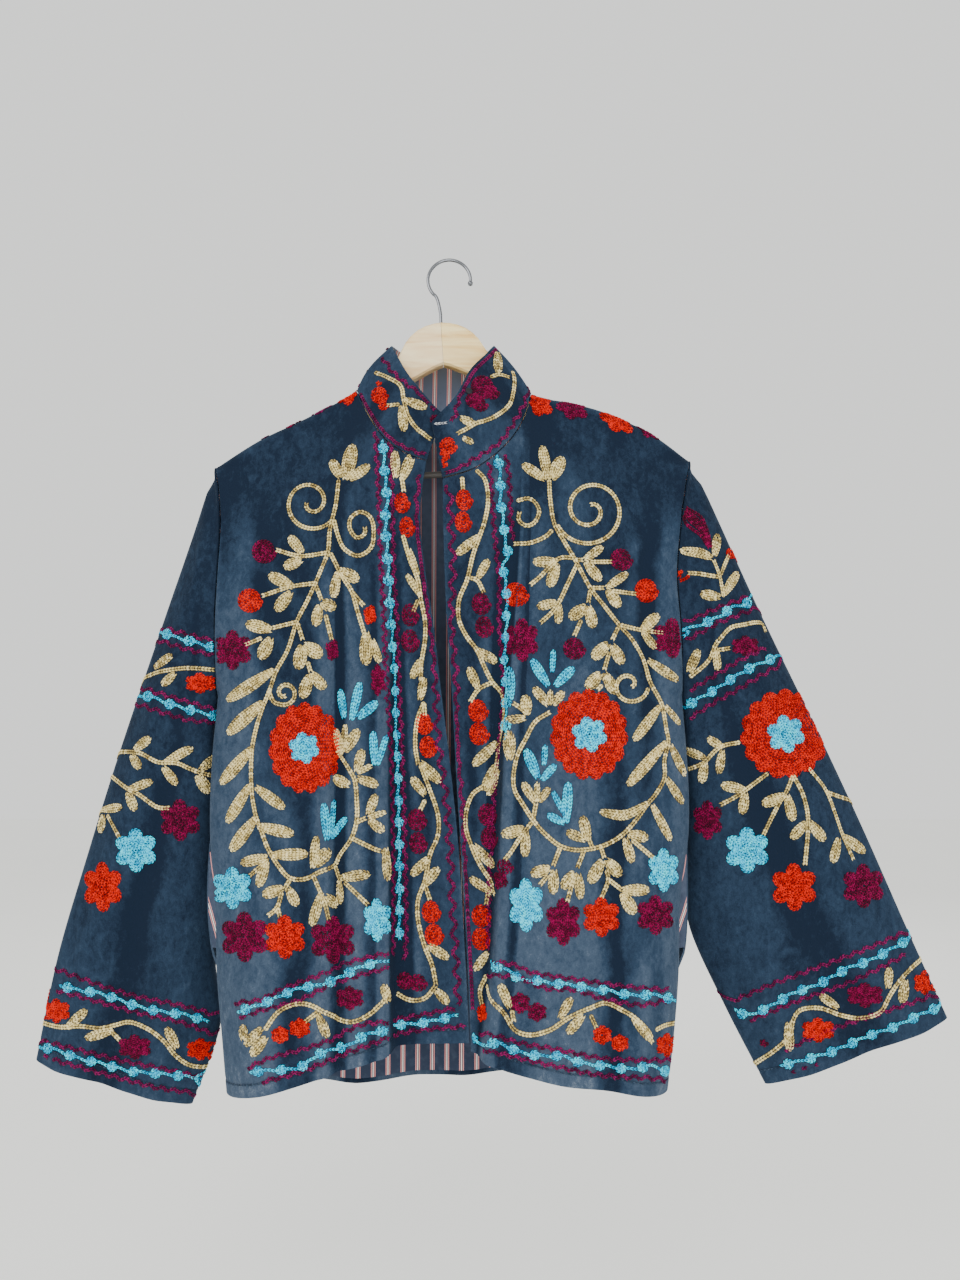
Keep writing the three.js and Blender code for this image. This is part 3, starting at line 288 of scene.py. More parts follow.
def crease_push(creases, u, v, v_scale=1.0):
    """Push of the creases: each is a line (u0, v0, u1, v1) that fades out at both ends."""
    push = 0
    for u0, v0, u1, v1, width, depth in creases:
        du, dv = u1 - u0, (v1 - v0) * v_scale
        run = math.hypot(du, dv)
        pu, pv = u - u0, (v - v0) * v_scale
        t = (pu * du + pv * dv) / run ** 2
        away = (pu * dv - pv * du) / run / width
        push = push + depth * np.exp(-(away ** 2)) * np.clip(4 * t * (1 - t), 0, 1) ** 0.8
    return push


def side_y(z, tip, facing):
    """The side edge, front to back: an oval armhole, then the side seam."""
    seam = look_up(BACK_SIDES, "z", "seamY", z)
    flare = np.maximum(look_up(BACK_SIDES, "z", "flare", z), 0)
    low = seam - SEAM_GAP / 2 if facing < 0 else seam + SEAM_GAP / 2 + flare
    along = np.clip((tip - z) / (tip - UNDERARM_Z), 0, 1)
    oval = ARMHOLE_DEPTH * 2 * np.sqrt(along * (1 - along))
    high = ARMHOLE_Y * smooth_step(0, 0.25, along) + facing * np.maximum(oval, SEAM_GAP / 2)
    return np.where(z <= UNDERARM_Z, low, high)


def panel_y(x, z, side, tip, facing, roundness, push):
    full = facing * (drape_depth(x, z, "front" if facing < 0 else "back") + push)
    edge = side_y(z, tip, facing)
    inward = np.clip(np.abs(x - side) / roundness, 0, 1)
    y = edge + (full - edge) * np.sqrt(1 - (1 - inward) ** 2)
    return np.where(z < UNDERARM_Z, y, facing * np.maximum(facing * y, SEAM_GAP / 2))


def point(x, y, z):
    return np.stack(np.broadcast_arrays(x, y, z), -1)


def front_point(front, x, z):
    side = look_up(front["lines"], "z", "side", z)
    push = fold_push(front["folds"], front["lines"], front["toward"], x, z)
    inside = smooth_step(*FRONT_CALM, np.abs(x - side))
    push = push + crease_push(front["creases"], x, z) * inside
    mottle_and_painted_light = push * smooth_step(*FRONT_FADE, ridge_z(x) - z)
    return point(x, panel_y(x, z, side, front["tip"], -1, FRONT_ROUND, mottle_and_painted_light), z)


def back_point(x, z):
    right, left = look_up(BACK_SIDES, "z", "right", z), look_up(BACK_SIDES, "z", "left", z)
    near_right = x < (right + left) / 2
    side = np.where(near_right, right, left)
    push = fold_push(FOLDS_BACK, None, 1, x, z)
    push = push + crease_push(CREASES_BACK, x, z) * smooth_step(*BACK_CALM, np.abs(x - side))
    push = push * smooth_step(*BACK_FADE, ridge_z(x) - z)
    tip = np.where(near_right, RIGHT_FRONT["tip"], LEFT_FRONT["tip"])
    return point(x, panel_y(x, z, side, tip, 1, BACK_ROUND, push), z)


def surface_normals(surface, u, v, du=1.5, dv=1.5):
    across = surface(u + du, v) - surface(u - du, v)
    up = surface(u, v + dv) - surface(u, v - dv)
    return unit(np.cross(across, up))


def offset_point(surface, x, z, offset):
    """Point moved inward off a panel."""
    normal, place = surface_normals(surface, x, z), surface(x, z)
    inward = np.where(place[..., 1] > 0, -1, 1)
    return place + normal * (offset * np.sign(normal[..., 1]) * inward)[..., None]


# -------------------- grids of the panels

LINE_NAMES = ("side", "fold", "neck", "band", "edge")
# Places across a front: whole numbers are the five lines.
FRONT_PLACES = np.concatenate([
    np.array([0, 0.004, 0.012, 0.025, 0.045, 0.07, 0.1, 0.14]), np.linspace(0.18, 0.97, 31),
    np.linspace(1, 1.9, 10), np.linspace(2, 2.94, 16), np.linspace(3, 4, 22),
])
BACK_PLACES = np.concatenate([[0, 0.003, 0.006, 0.014, 0.025, 0.04, 0.055], np.linspace(0.078, 0.27, 10)])
BACK_NECK_STEPS = 42
ROLL_DROPS = np.array([0, 0.6, 1.2, 2.7, 4.5, 6.7, 9])                       # rows over the hanger
HEM_HEIGHTS = np.array([30, 24, 18, 15, 13.3, 12, 10.7, 9, 6, 3, 1.2, 0])    # and above the hem
PANEL_STEPS = 92
STITCH_HEIGHT = 12       # hem's topstitching above the edge


def drops_below(total):
    """Drops of the rows from the top edge of each column, whose whole drop is given."""
    roll = ROLL_DROPS[:, None] + 0 * total
    share = np.linspace(0, 1, PANEL_STEPS)[:, None]
    middle = SHOULDER_ROLL + 1.5 + share * (total - SHOULDER_ROLL - 36)
    return np.concatenate([roll, middle, total - HEM_HEIGHTS[:, None]])


def front_x(front, places, z):
    lines = np.stack([look_up(front["lines"], "z", name, z) for name in LINE_NAMES])
    start = np.broadcast_to(np.minimum(places.astype(int), 3), z.shape)
    share = places - start
    low, high = (np.take_along_axis(lines, (start + k)[None], 0)[0] for k in (0, 1))
    return low + (high - low) * share


def front_rows(front):
    top = np.full(len(FRONT_PLACES), float(front["tip"]))
    hem = np.full(len(FRONT_PLACES), float(HEM_LEVEL))
    for _ in range(SEARCH_PASSES):
        x = front_x(front, FRONT_PLACES, top)
        in_neck = (x - front["neck"]) * front["toward"] > 0
        top = np.where(in_neck, look_up(front["neckline"], "x", "z", x), ridge_z(x))
        hem = look_up(front["hem"], "x", "z", front_x(front, FRONT_PLACES, hem))
    z = top - drops_below(top - hem)
    return front_point(front, front_x(front, FRONT_PLACES, z), z)


def back_columns():
    """Shares of the width at both sides, and between them shares of the neck's width."""
    neck = np.linspace(0, 1, BACK_NECK_STEPS + 1)
    shares = np.concatenate([BACK_PLACES, neck, 1 - BACK_PLACES[::-1]])
    is_neck = np.repeat([False, True, False], [len(BACK_PLACES), len(neck), len(BACK_PLACES)])
    return shares, is_neck


def back_x(columns, z):
    shares, is_neck = columns
    right, left = look_up(BACK_SIDES, "z", "right", z), look_up(BACK_SIDES, "z", "left", z)
    between = RIGHT_FRONT["neck"] + (LEFT_FRONT["neck"] - RIGHT_FRONT["neck"]) * shares
    return np.where(is_neck, between, right + (left - right) * shares)


def back_ends(columns):
    top = np.full(len(columns[0]), float(RIGHT_FRONT["tip"]))
    hem = np.full(len(columns[0]), float(HEM_LEVEL))
    for _ in range(SEARCH_PASSES):
        x = back_x(columns, top)
        top = np.where(columns[1], look_up(NECKLINE_BACK, "x", "z", x), ridge_z(x))
        hem = look_up(HEM_BACK, "x", "z", back_x(columns, hem))
    return top, hem


def back_rows():
    columns = back_columns()
    top, hem = back_ends(columns)
    z = top - drops_below(top - hem)
    return back_point(back_x(columns, z), z)


RIGHT_ROWS, LEFT_ROWS, BACK_ROWS = front_rows(RIGHT_FRONT), front_rows(LEFT_FRONT), back_rows()


def grid_normals(rows, ring=False):
    if ring:
        across = np.roll(rows, -1, 1) - np.roll(rows, 1, 1)
    else:
        wide = np.concatenate([rows[:, :1], rows, rows[:, -1:]], 1)
        across = wide[:, 2:] - wide[:, :-2]
    tall = np.concatenate([rows[:1], rows, rows[-1:]], 0)
    return unit(np.cross(across, tall[2:] - tall[:-2]))


def groove(rows, normals, height, depth=0.6, width=1.6):
    """Presses the line of topstitching into the cloth."""
    return rows - normals * (depth * np.exp(-((height - STITCH_HEIGHT) / width) ** 2))[..., None]


# -------------------- meshes

SHARP_ANGLE = 50         # degrees; a wall's own edges stay sharp


def make_object(name, points, faces, materials, picks=0, attributes=None, sharp=None):
    mesh = bpy.data.meshes.new(name)
    mesh.vertices.add(len(points))
    mesh.vertices.foreach_set("co", (points * 0.001).astype(np.float32).ravel())
    mesh.loops.add(faces.size)
    mesh.loops.foreach_set("vertex_index", faces.astype(np.int32).ravel())
    mesh.polygons.add(len(faces))
    mesh.polygons.foreach_set("loop_start", np.arange(0, faces.size, faces.shape[1], dtype=np.int32))
    mesh.polygons.foreach_set("material_index", np.broadcast_to(picks, len(faces)).astype(np.int32))
    mesh.polygons.foreach_set("use_smooth", np.ones(len(faces), bool))
    for key, values in (attributes or {}).items():
        made = mesh.attributes.new(key, "FLOAT", "POINT")
        made.data.foreach_set("value", np.asarray(values, np.float32).ravel())
    mesh.update(calc_edges=True)
    mesh.validate()
    if sharp:
        mesh.set_sharp_from_angle(angle=math.radians(sharp))
    for material in materials:
        mesh.materials.append(material)
    made = bpy.data.objects.new(name, mesh)
    bpy.context.scene.collection.objects.link(made)
    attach(made, "root")
    return made


def corners(grid):
    return grid[:-1, :-1], grid[:-1, 1:], grid[1:, 1:], grid[1:, :-1]


def quads(*sides):
    return np.stack(sides, -1).reshape(-1, 4)


def shell(name, rows, thickness, looks, normals, ring=False, edge_painted_light_and_wear=0.0, relief=1.0, pale=0.0):
    """Closed wall of cloth on both sides of a grid of middle points.

    Its first look is outside and at the edges, its last one inside. Its painted light and wear comes from
    its relief, painted lighter on ridges and darker in troughs as highlight and shade, and from its edges,
    paler partly from wear and partly as painted highlight; pale is added to that."""
    high, wide = rows.shape[:2]
    points = np.concatenate([
        (rows + normals * thickness / 2).reshape(-1, 3), (rows - normals * thickness / 2).reshape(-1, 3),
    ])
    grid = np.arange(high * wide).reshape(high, wide)
    if ring:
        grid = np.concatenate([grid, grid[:, :1]], 1)
    under = grid + high * wide
    parts = [
        quads(*corners(grid)),
        quads(grid[0, :-1], under[0, :-1], under[0, 1:], grid[0, 1:]),
        quads(grid[-1, :-1], grid[-1, 1:], under[-1, 1:], under[-1, :-1]),
    ]
    if not ring:
        parts.append(quads(grid[:-1, 0], grid[1:, 0], under[1:, 0], under[:-1, 0]))
        parts.append(quads(grid[:-1, -1], under[:-1, -1], under[1:, -1], grid[1:, -1]))
    outer = sum(len(part) for part in parts)
    a, b, c, d = corners(under)
    parts.append(quads(a, d, c, b))
    faces = np.concatenate(parts)
    corner = points[faces]
    volume = np.einsum("ij,ij->i", corner[:, 0], np.cross(corner[:, 1], corner[:, 2])).sum()
    if volume < 0:
        faces = faces[:, ::-1]
    # Painted highlight on ridges and painted shade in troughs, plus the edges' paleness, partly wear and
    # partly painted highlight.
    painted_light_and_wear = np.tile((bulge(rows, normals, ring) * relief + pale + edge_painted_light_and_wear).ravel(), 2)
    lengths = np.linalg.norm(np.diff(rows, axis=1), axis=-1)
    stripe = np.concatenate([np.zeros((high, 1)), np.cumsum(lengths, 1)], 1)
    stripe = np.tile((stripe - stripe[:, wide // 2][:, None]).ravel(), 2)
    picks = np.where(np.arange(len(faces)) < outer, 0, len(looks) - 1)
    return make_object(name, points, faces, looks, picks, {"painted_light_and_wear": painted_light_and_wear, "stripe": stripe}, SHARP_ANGLE)


def bulge(rows, normals, ring):
    """How far each place stands out of the cloth on both sides of it, from -1 to 1."""
    total = 0
    for reach in (3, 6):
        if ring:
            before, after = np.roll(rows, reach, 1), np.roll(rows, -reach, 1)
        else:
            wide = np.pad(rows, ((0, 0), (reach, reach), (0, 0)), mode="edge")
            before, after = wide[:, :-2 * reach], wide[:, 2 * reach:]
        total = total + np.einsum("ijk,ijk->ij", rows - (before + after) / 2, normals)
    return np.clip(total / 3.0, -1, 1)


# -------------------- collar


def neck_seam():
    right, back, left = RIGHT_ROWS[0], BACK_ROWS[0], LEFT_ROWS[0]
    right_neck, left_neck = RIGHT_FRONT["neck"], LEFT_FRONT["neck"]
    right = right[right[:, 0] > right_neck - 0.5][::-1]
    back = back[(back[:, 0] > right_neck + 1) & (back[:, 0] < left_neck - 1)]
    left = left[left[:, 0] < left_neck + 0.5]
    return np.concatenate([right, back, left])


SEAM = neck_seam()
SEAM_LENGTH = lengths_along(SEAM)[-1]
SEAM_SHARES = lengths_along(SEAM) / SEAM_LENGTH


def collar_outward(place):
    return unit(place * [1, 1.6, 0] + [5, 0, 0])


def collar_point(share, up):
    """Point of the band: "up" runs from the neck seam to the top edge."""
    share, up = np.broadcast_arrays(share, up)
    base = np.stack([np.interp(share, SEAM_SHARES, SEAM[:, k]) for k in range(3)], -1)
    top = np.stack([look_up(COLLAR_TOP, "share", k, share) for k in "xyz"], -1)
    base = base + COLLAR_GAP * unit(top - base)
    bulging = look_up(COLLAR_TOP, "share", "bulge", share) * np.sin(np.pi * up)
    pinch = 2.2 * np.exp(-((up - 0.56 - 0.3 * (share - 1)) / 0.07) ** 2) * smooth_step(0.88, 0.97, share)
    ripple = 0.7 * np.sin(share * 61) * np.sin(np.pi * up) * smooth_step(0.02, 0.1, share)
    push = (bulging + ripple - pinch)[..., None]
    return base + (top - base) * up[..., None] + collar_outward(base) * push


# -------------------- sleeves

SLEEVE_TURNS = 84
SLEEVE_STEPS = np.concatenate([np.linspace(0, 0.94, 66), 1 - HEM_HEIGHTS[2:] / SLEEVE_LENGTH])


def armhole_x(front, z):
    """X of the sleeve's top edge, a small gap away from the body."""
    return look_up(front["lines"], "z", "side", z) - SLEEVE_GAP * front["toward"]


def sleeve_of(front, rows):
    """A sleeve: its front panel and its rows, the armhole's added at the top."""
    tip = front["tip"]
    first = dict(at=0, outerX=armhole_x(front, tip), outerZ=tip, innerX=armhole_x(front, UNDERARM_Z),
                 innerZ=UNDERARM_Z, y=ARMHOLE_Y, depth=ARMHOLE_DEPTH)
    return {"front": front, "rows": {k: np.concatenate([[float(first[k])], rows[k]]) for k in rows}}


SLEEVES = {"right": sleeve_of(RIGHT_FRONT, SLEEVE_RIGHT), "left": sleeve_of(LEFT_FRONT, SLEEVE_LEFT)}


def sleeve_edges(sleeve, at):
    """X and Z of the outer and the inner edge, and the Y and depth of the tube's middle."""
    def value(name):
        return look_up(sleeve["rows"], "at", name, at)

    outer = np.stack([value("outerX"), value("outerZ")], -1)
    inner = np.stack([value("innerX"), value("innerZ")], -1)
    return outer, inner, value("y"), value("depth")


def sleeve_point(sleeve, at, degrees):
    """Point of the tube: 0 degrees is its outer edge, 90 its front, 180 its inner edge."""
    at, degrees = np.broadcast_arrays(np.asarray(at, float), np.asarray(degrees, float))
    outer, inner, middle, depth = sleeve_edges(sleeve, at)
    turn = np.radians(degrees)
    share = (1 - np.cos(turn)) / 2
    xz = outer + (inner - outer) * share[..., None]
    armhole = 1 - smooth_step(0, 0.1, at)
    tuck = (1 - smooth_step(0, 0.25, share)) * armhole * ARMHOLE_Y
    for high, low, top, full, end, width, deep in SLEEVE_FOLDS:
        strength = smooth_step(top, full, at) * (1 - smooth_step(1, end, at))
        away = (degrees - high - (low - high) * at) / width
        depth = depth + strength * deep * np.exp(-(away ** 2))
    depth = depth + crease_push(CREASES_SLEEVE, degrees % 360, at, SLEEVE_SCALE)
    seam_x = armhole_x(sleeve["front"], xz[..., 1])
    x = xz[..., 0] + (seam_x - xz[..., 0]) * (1 - smooth_step(0, 0.06, at))
    return point(x, middle - tuck - depth * np.sin(turn), xz[..., 1])


def sleeve_outward(sleeve, at, place):
    outer, inner, middle, _ = sleeve_edges(sleeve, at)
    centre = (outer + inner) / 2
    return place - point(centre[..., 0], middle, centre[..., 1])


BEYOND_HEM = 2.0         # stands for any place below a sleeve's hem


def sleeve_places(sleeve, x, z):
    """How far down a sleeve a place lies and its share across it, by its X and Z."""
    ats = np.linspace(-0.02, 1.02, 420)
    outer, inner, _, _ = sleeve_edges(sleeve, ats)
    extra = (ats - np.clip(ats, 0, 1))[:, None] * SLEEVE_LENGTH * np.array([[0, -1]])
    outer, inner = outer + extra, inner + extra
    over = inner - outer
    side = over[:, 0] * (z[..., None] - outer[:, 1]) - over[:, 1] * (x[..., None] - outer[:, 0])
    side = side * -np.sign(side[..., :1])
    k = np.clip(np.argmax(side > 0, -1), 1, len(ats) - 1)
    before, after = (np.take_along_axis(side, (k - n)[..., None], -1)[..., 0] for n in (1, 0))
    part = np.clip(before / np.where(before == after, 1, before - after), 0, 1)
    at = ats[k - 1] + (ats[k] - ats[k - 1]) * part
    start = outer[k - 1] + (outer[k] - outer[k - 1]) * part[..., None]
    end = inner[k - 1] + (inner[k] - inner[k - 1]) * part[..., None]
    line = end - start
    share = ((x - start[..., 0]) * line[..., 0] + (z - start[..., 1]) * line[..., 1]) / (line ** 2).sum(-1)
    return np.where(side[..., -1] <= 0, BEYOND_HEM, at), share


# -------------------- pockets

POCKET_TOP, POCKET_BOTTOM, BAG_DROP, POCKET_GAP = -607, -699, 34, 1.6
POCKET_SHARES = np.array([0.022, 0.03, 0.045, 0.07, 0.1, 0.14, 0.18, 0.28, 0.38, 0.5, 0.62, 0.74])
POCKET_ROWS = 24


def pocket_rows(front):
    near = VELVET / 2 + 2 * SEAM_GAP + POCKET_CLOTH / 2
    far = near + POCKET_GAP + POCKET_CLOTH
    t = np.linspace(0, 1, POCKET_ROWS)[:, None]
    shares = np.concatenate([POCKET_SHARES, POCKET_SHARES[::-1]])[None, :]
    offsets = np.repeat([near, far], len(POCKET_SHARES))[None, :] + 0 * t
    spread = smooth_step(0, 0.15, shares)
    top = POCKET_TOP + 6 * spread
    z = top + (POCKET_BOTTOM - BAG_DROP * spread - top) * t
    side, fold = (look_up(front["lines"], "z", name, z) for name in ("side", "fold"))
    bag = offset_point(lambda x, z: front_point(front, x, z), side + (fold - side) * shares, z, offsets)
    edge = BACK_ROWS[:, 0 if front is RIGHT_FRONT else -1]
    z = (POCKET_TOP + (POCKET_BOTTOM - POCKET_TOP) * t)[:, 0]
    edge_x, edge_y = (np.interp(-z, -edge[:, 2], edge[:, k]) for k in (0, 1))
    side = look_up(front["lines"], "z", "side", z)
    lips = [point(side + 2.5 * front["toward"], edge_y - 6, z),
            point(edge_x + 0.8 * front["toward"], edge_y - SEAM_GAP - POCKET_CLOTH / 2, z)]
    return np.concatenate([bag, np.stack(lips, 1)], 1)


# -------------------- the photograph's frame


def cast(pixels, y):
    """X and Z where the camera's ray through a pixel meets a depth."""
    right, up = (pixels[..., 0] - CENTRE_X) / FOCAL, (CENTRE_Y - pixels[..., 1]) / FOCAL
    along = math.cos(PITCH) - up * math.sin(PITCH)
    reach = (y - EYE[1]) / along
    return EYE[0] + reach * right, EYE[2] + reach * (math.sin(PITCH) + up * math.cos(PITCH))


def project(places):
    """Pixels at which the camera sees places in space; the other way round from cast."""
    d = places - EYE
    deep = d[..., 1] * math.cos(PITCH) + d[..., 2] * math.sin(PITCH)
    high = -d[..., 1] * math.sin(PITCH) + d[..., 2] * math.cos(PITCH)
    return np.stack([CENTRE_X + FOCAL * d[..., 0] / deep, CENTRE_Y - FOCAL * high / deep], -1)


# -------------------- drawing in the frame

# Widths of a row of chain stitch: stems, fills of flowers, zigzag rows and thin lines.
WOOL, FILL, WAVE_WIDTH, THIN = 4.6, 3.5, 3.5, 2.4
CHAIN_STEP = 22           # along a chained border, from one rosette to the next
BORDER_SWING, BORDER_WAVE = 2.3, 12
EDGE_SWING, EDGE_WAVE = 3.6, 19


def flat_lengths(line):
    """Length of a line in the frame up to each of its points."""
    return np.concatenate([[0], np.cumsum(np.hypot(*np.diff(line, axis=0).T))])


def flow(points, step=1.0):
    """Smooth line through points, in even short steps."""
    p = np.array(points, float)
    s = flat_lengths(p)
    at = np.linspace(0, s[-1], max(int(s[-1] / step), 2) + 1)
    rows = {"s": s, "x": p[:, 0], "y": p[:, 1]}
    return np.stack([look_up(rows, "s", "x", at), look_up(rows, "s", "y", at)], -1)


def sideways(line):
    """Unit steps square to a line."""
    run = unit(np.gradient(line, axis=0))
    return np.stack([-run[:, 1], run[:, 0]], -1)


def ring(centre, rx, ry, lobes, depth, phase=0.0):
    """Closed line with rounded lobes."""
    turn = np.linspace(0, 2 * np.pi, max(int(4.5 * (rx + ry)), 16))
    reach = 1 - depth + depth * np.abs(np.cos((turn - phase) * lobes / 2)) ** 0.8
    return np.array(centre) + np.stack([rx * reach * np.cos(turn), ry * reach * np.sin(turn)], -1)


def coil(centre, radius, tall, spacing=2.8):
    """Round or oval berry, one row wound from the edge to the middle."""
    reach = radius * 1.12 - 1.5
    turn = np.arange(0, 2 * np.pi * max(reach, 1) / spacing, 0.22)
    reach = reach - spacing * turn / (2 * np.pi)
    return np.array(centre) + np.stack([reach * np.cos(turn), reach * tall / radius * np.sin(turn)], -1)


def draw_leaf(add, colour, points, width):
    """Club-shaped leaf, its rows nested from the outline to the middle."""
    axis = flow(points)
    t = np.linspace(0, 1, len(axis))
    outline = np.sin(np.pi * np.clip(t, 0.03, 0.985) ** 1.3) ** 0.45
    half = max(width / 2 - 1.3, 1.2)
    trim = 0
    while half > 0.9 and 2 * trim < len(axis) - 4:
        part = slice(trim, len(axis) - trim)
        out = (sideways(axis) * (half * outline)[:, None])[part]
        add(colour, 3.7, np.concatenate([axis[part] + out, (axis[part] - out)[::-1]]))
        half, trim = half - 2.5, trim + 3
    if half > -0.9 and width >= 6.5:
        add(colour, 3.4, axis[int(len(axis) * 0.1):int(len(axis) * 0.9)])


def shrinking(rx, ry, first, spacing, least):
    """Shares of nested rings, from the outermost to the least radius."""
    longest = max(rx, ry)
    share = 1 - first / longest
    while share * longest > least:
        yield share
        share -= spacing / longest


def draw_flower(add, colour, centre, rx, ry, lobes=6, phase=0.5):
    for k, share in enumerate(shrinking(rx, ry, 1.4, 2.9, 1.0)):
        add(colour, FILL, ring(centre, rx * share, ry * share, lobes, 0.5 * 0.84 ** k, phase), 0.12 * k)


def draw_medallion(add, centre, rx, ry, core):
    for k, share in enumerate(shrinking(rx, ry, 1.4, 2.9, 0.5 * core)):
        add("orange", FILL, ring(centre, rx * share, ry * share, 15, 0.15 * 0.85 ** k, 0.1))
    for k, share in enumerate(shrinking(core, core, 1.2, 2.7, 0.8)):
        add("cyan", FILL, ring(centre, core * share, core * share, 6, 0.46 * 0.8 ** k, 0.3), 0.9)


def draw_curl(add, colour, start, centre, end_radius, turns):
    """Tendril that winds in round a centre."""
    ahead = np.array(start, float) - centre
    begin, first = math.hypot(*ahead), math.atan2(ahead[1], ahead[0])
    t = np.linspace(0, 1, int(60 * abs(turns)))
    reach = begin + (end_radius - begin) * t ** 1.1
    turn = first + 2 * np.pi * turns * t
    add(colour, WOOL, np.array(centre) + np.stack([reach * np.cos(turn), reach * np.sin(turn)], -1))


def draw_wave(add, points, swing, wave):
    """Zigzag row with slightly rounded turns."""
    line = flow(points, 0.8)
    s = flat_lengths(line)
    shape = np.arcsin(0.93 * np.sin(2 * np.pi * s / wave)) / 1.2
    add("wine", WAVE_WIDTH, line + sideways(line) * (swing * shape)[:, None])


def draw_chain(add, points):
    """Cyan border: a wavering line with small rosettes."""
    line = flow(points, 0.8)
    s = flat_lengths(line)
    add("cyan", 2.6, line + sideways(line) * (1.0 * np.sin(2 * np.pi * s / CHAIN_STEP))[:, None])
    for at in np.arange(CHAIN_STEP * 0.4, s[-1], CHAIN_STEP):
        k = min(int(np.searchsorted(s, at)), len(line) - 1)
        add("cyan", 2.9, ring(line[k], 4.3, 4.3, 5, 0.16), 0.4)
        add("cyan", 2.6, ring(line[k], 1.6, 1.6, 3, 0.0), 0.5)


COLOURS = {"b": "beige", "o": "orange", "m": "magenta", "c": "cyan", "s": "silver"}


def draw(text):
    """Strokes of a design: each line has a kind, then its items."""
    strokes = []

    def add(colour, width, line, lift=0.0):
        strokes.append({"colour": colour, "width": width, "line": np.asarray(line, float), "lift": lift})

    for row in text.strip().splitlines():
        kind, rest = row.strip().split(" ", 1)
        for item in rest.split(";"):
            words = item.split()
            points = [tuple(map(float, w.split(","))) for w in words if "," in w]
            plain = [float(w) for w in words if "," not in w]
            colour = COLOURS.get(kind[-1])
            if kind == "stem":
                add("beige", WOOL, flow(points))
            elif kind[:-1] == "line":
                add(colour, THIN, flow(points))
            elif kind[:-1] == "leaf":
                draw_leaf(add, colour, points, plain[0])
            elif kind[:-1] == "dot":
                add(colour, FILL, coil(points[0], plain[0], plain[-1]))
            elif kind[:-1] == "flower":
                draw_flower(add, colour, points[0], plain[0], plain[-1])
            elif kind[:-1] == "bud":
                draw_flower(add, colour, points[0], plain[0], plain[-1], 4)
            elif kind == "medal":
                draw_medallion(add, points[0], *plain)
            elif kind == "curl":
                draw_curl(add, "beige", *points, *plain)
            elif kind == "wave":
                draw_wave(add, points, BORDER_SWING, BORDER_WAVE)
            elif kind == "edge":
                draw_wave(add, points, EDGE_SWING, EDGE_WAVE)
            elif kind == "chain":
                draw_chain(add, points)
            else:
                raise ValueError(kind)
    return strokes


# -------------------- the designs

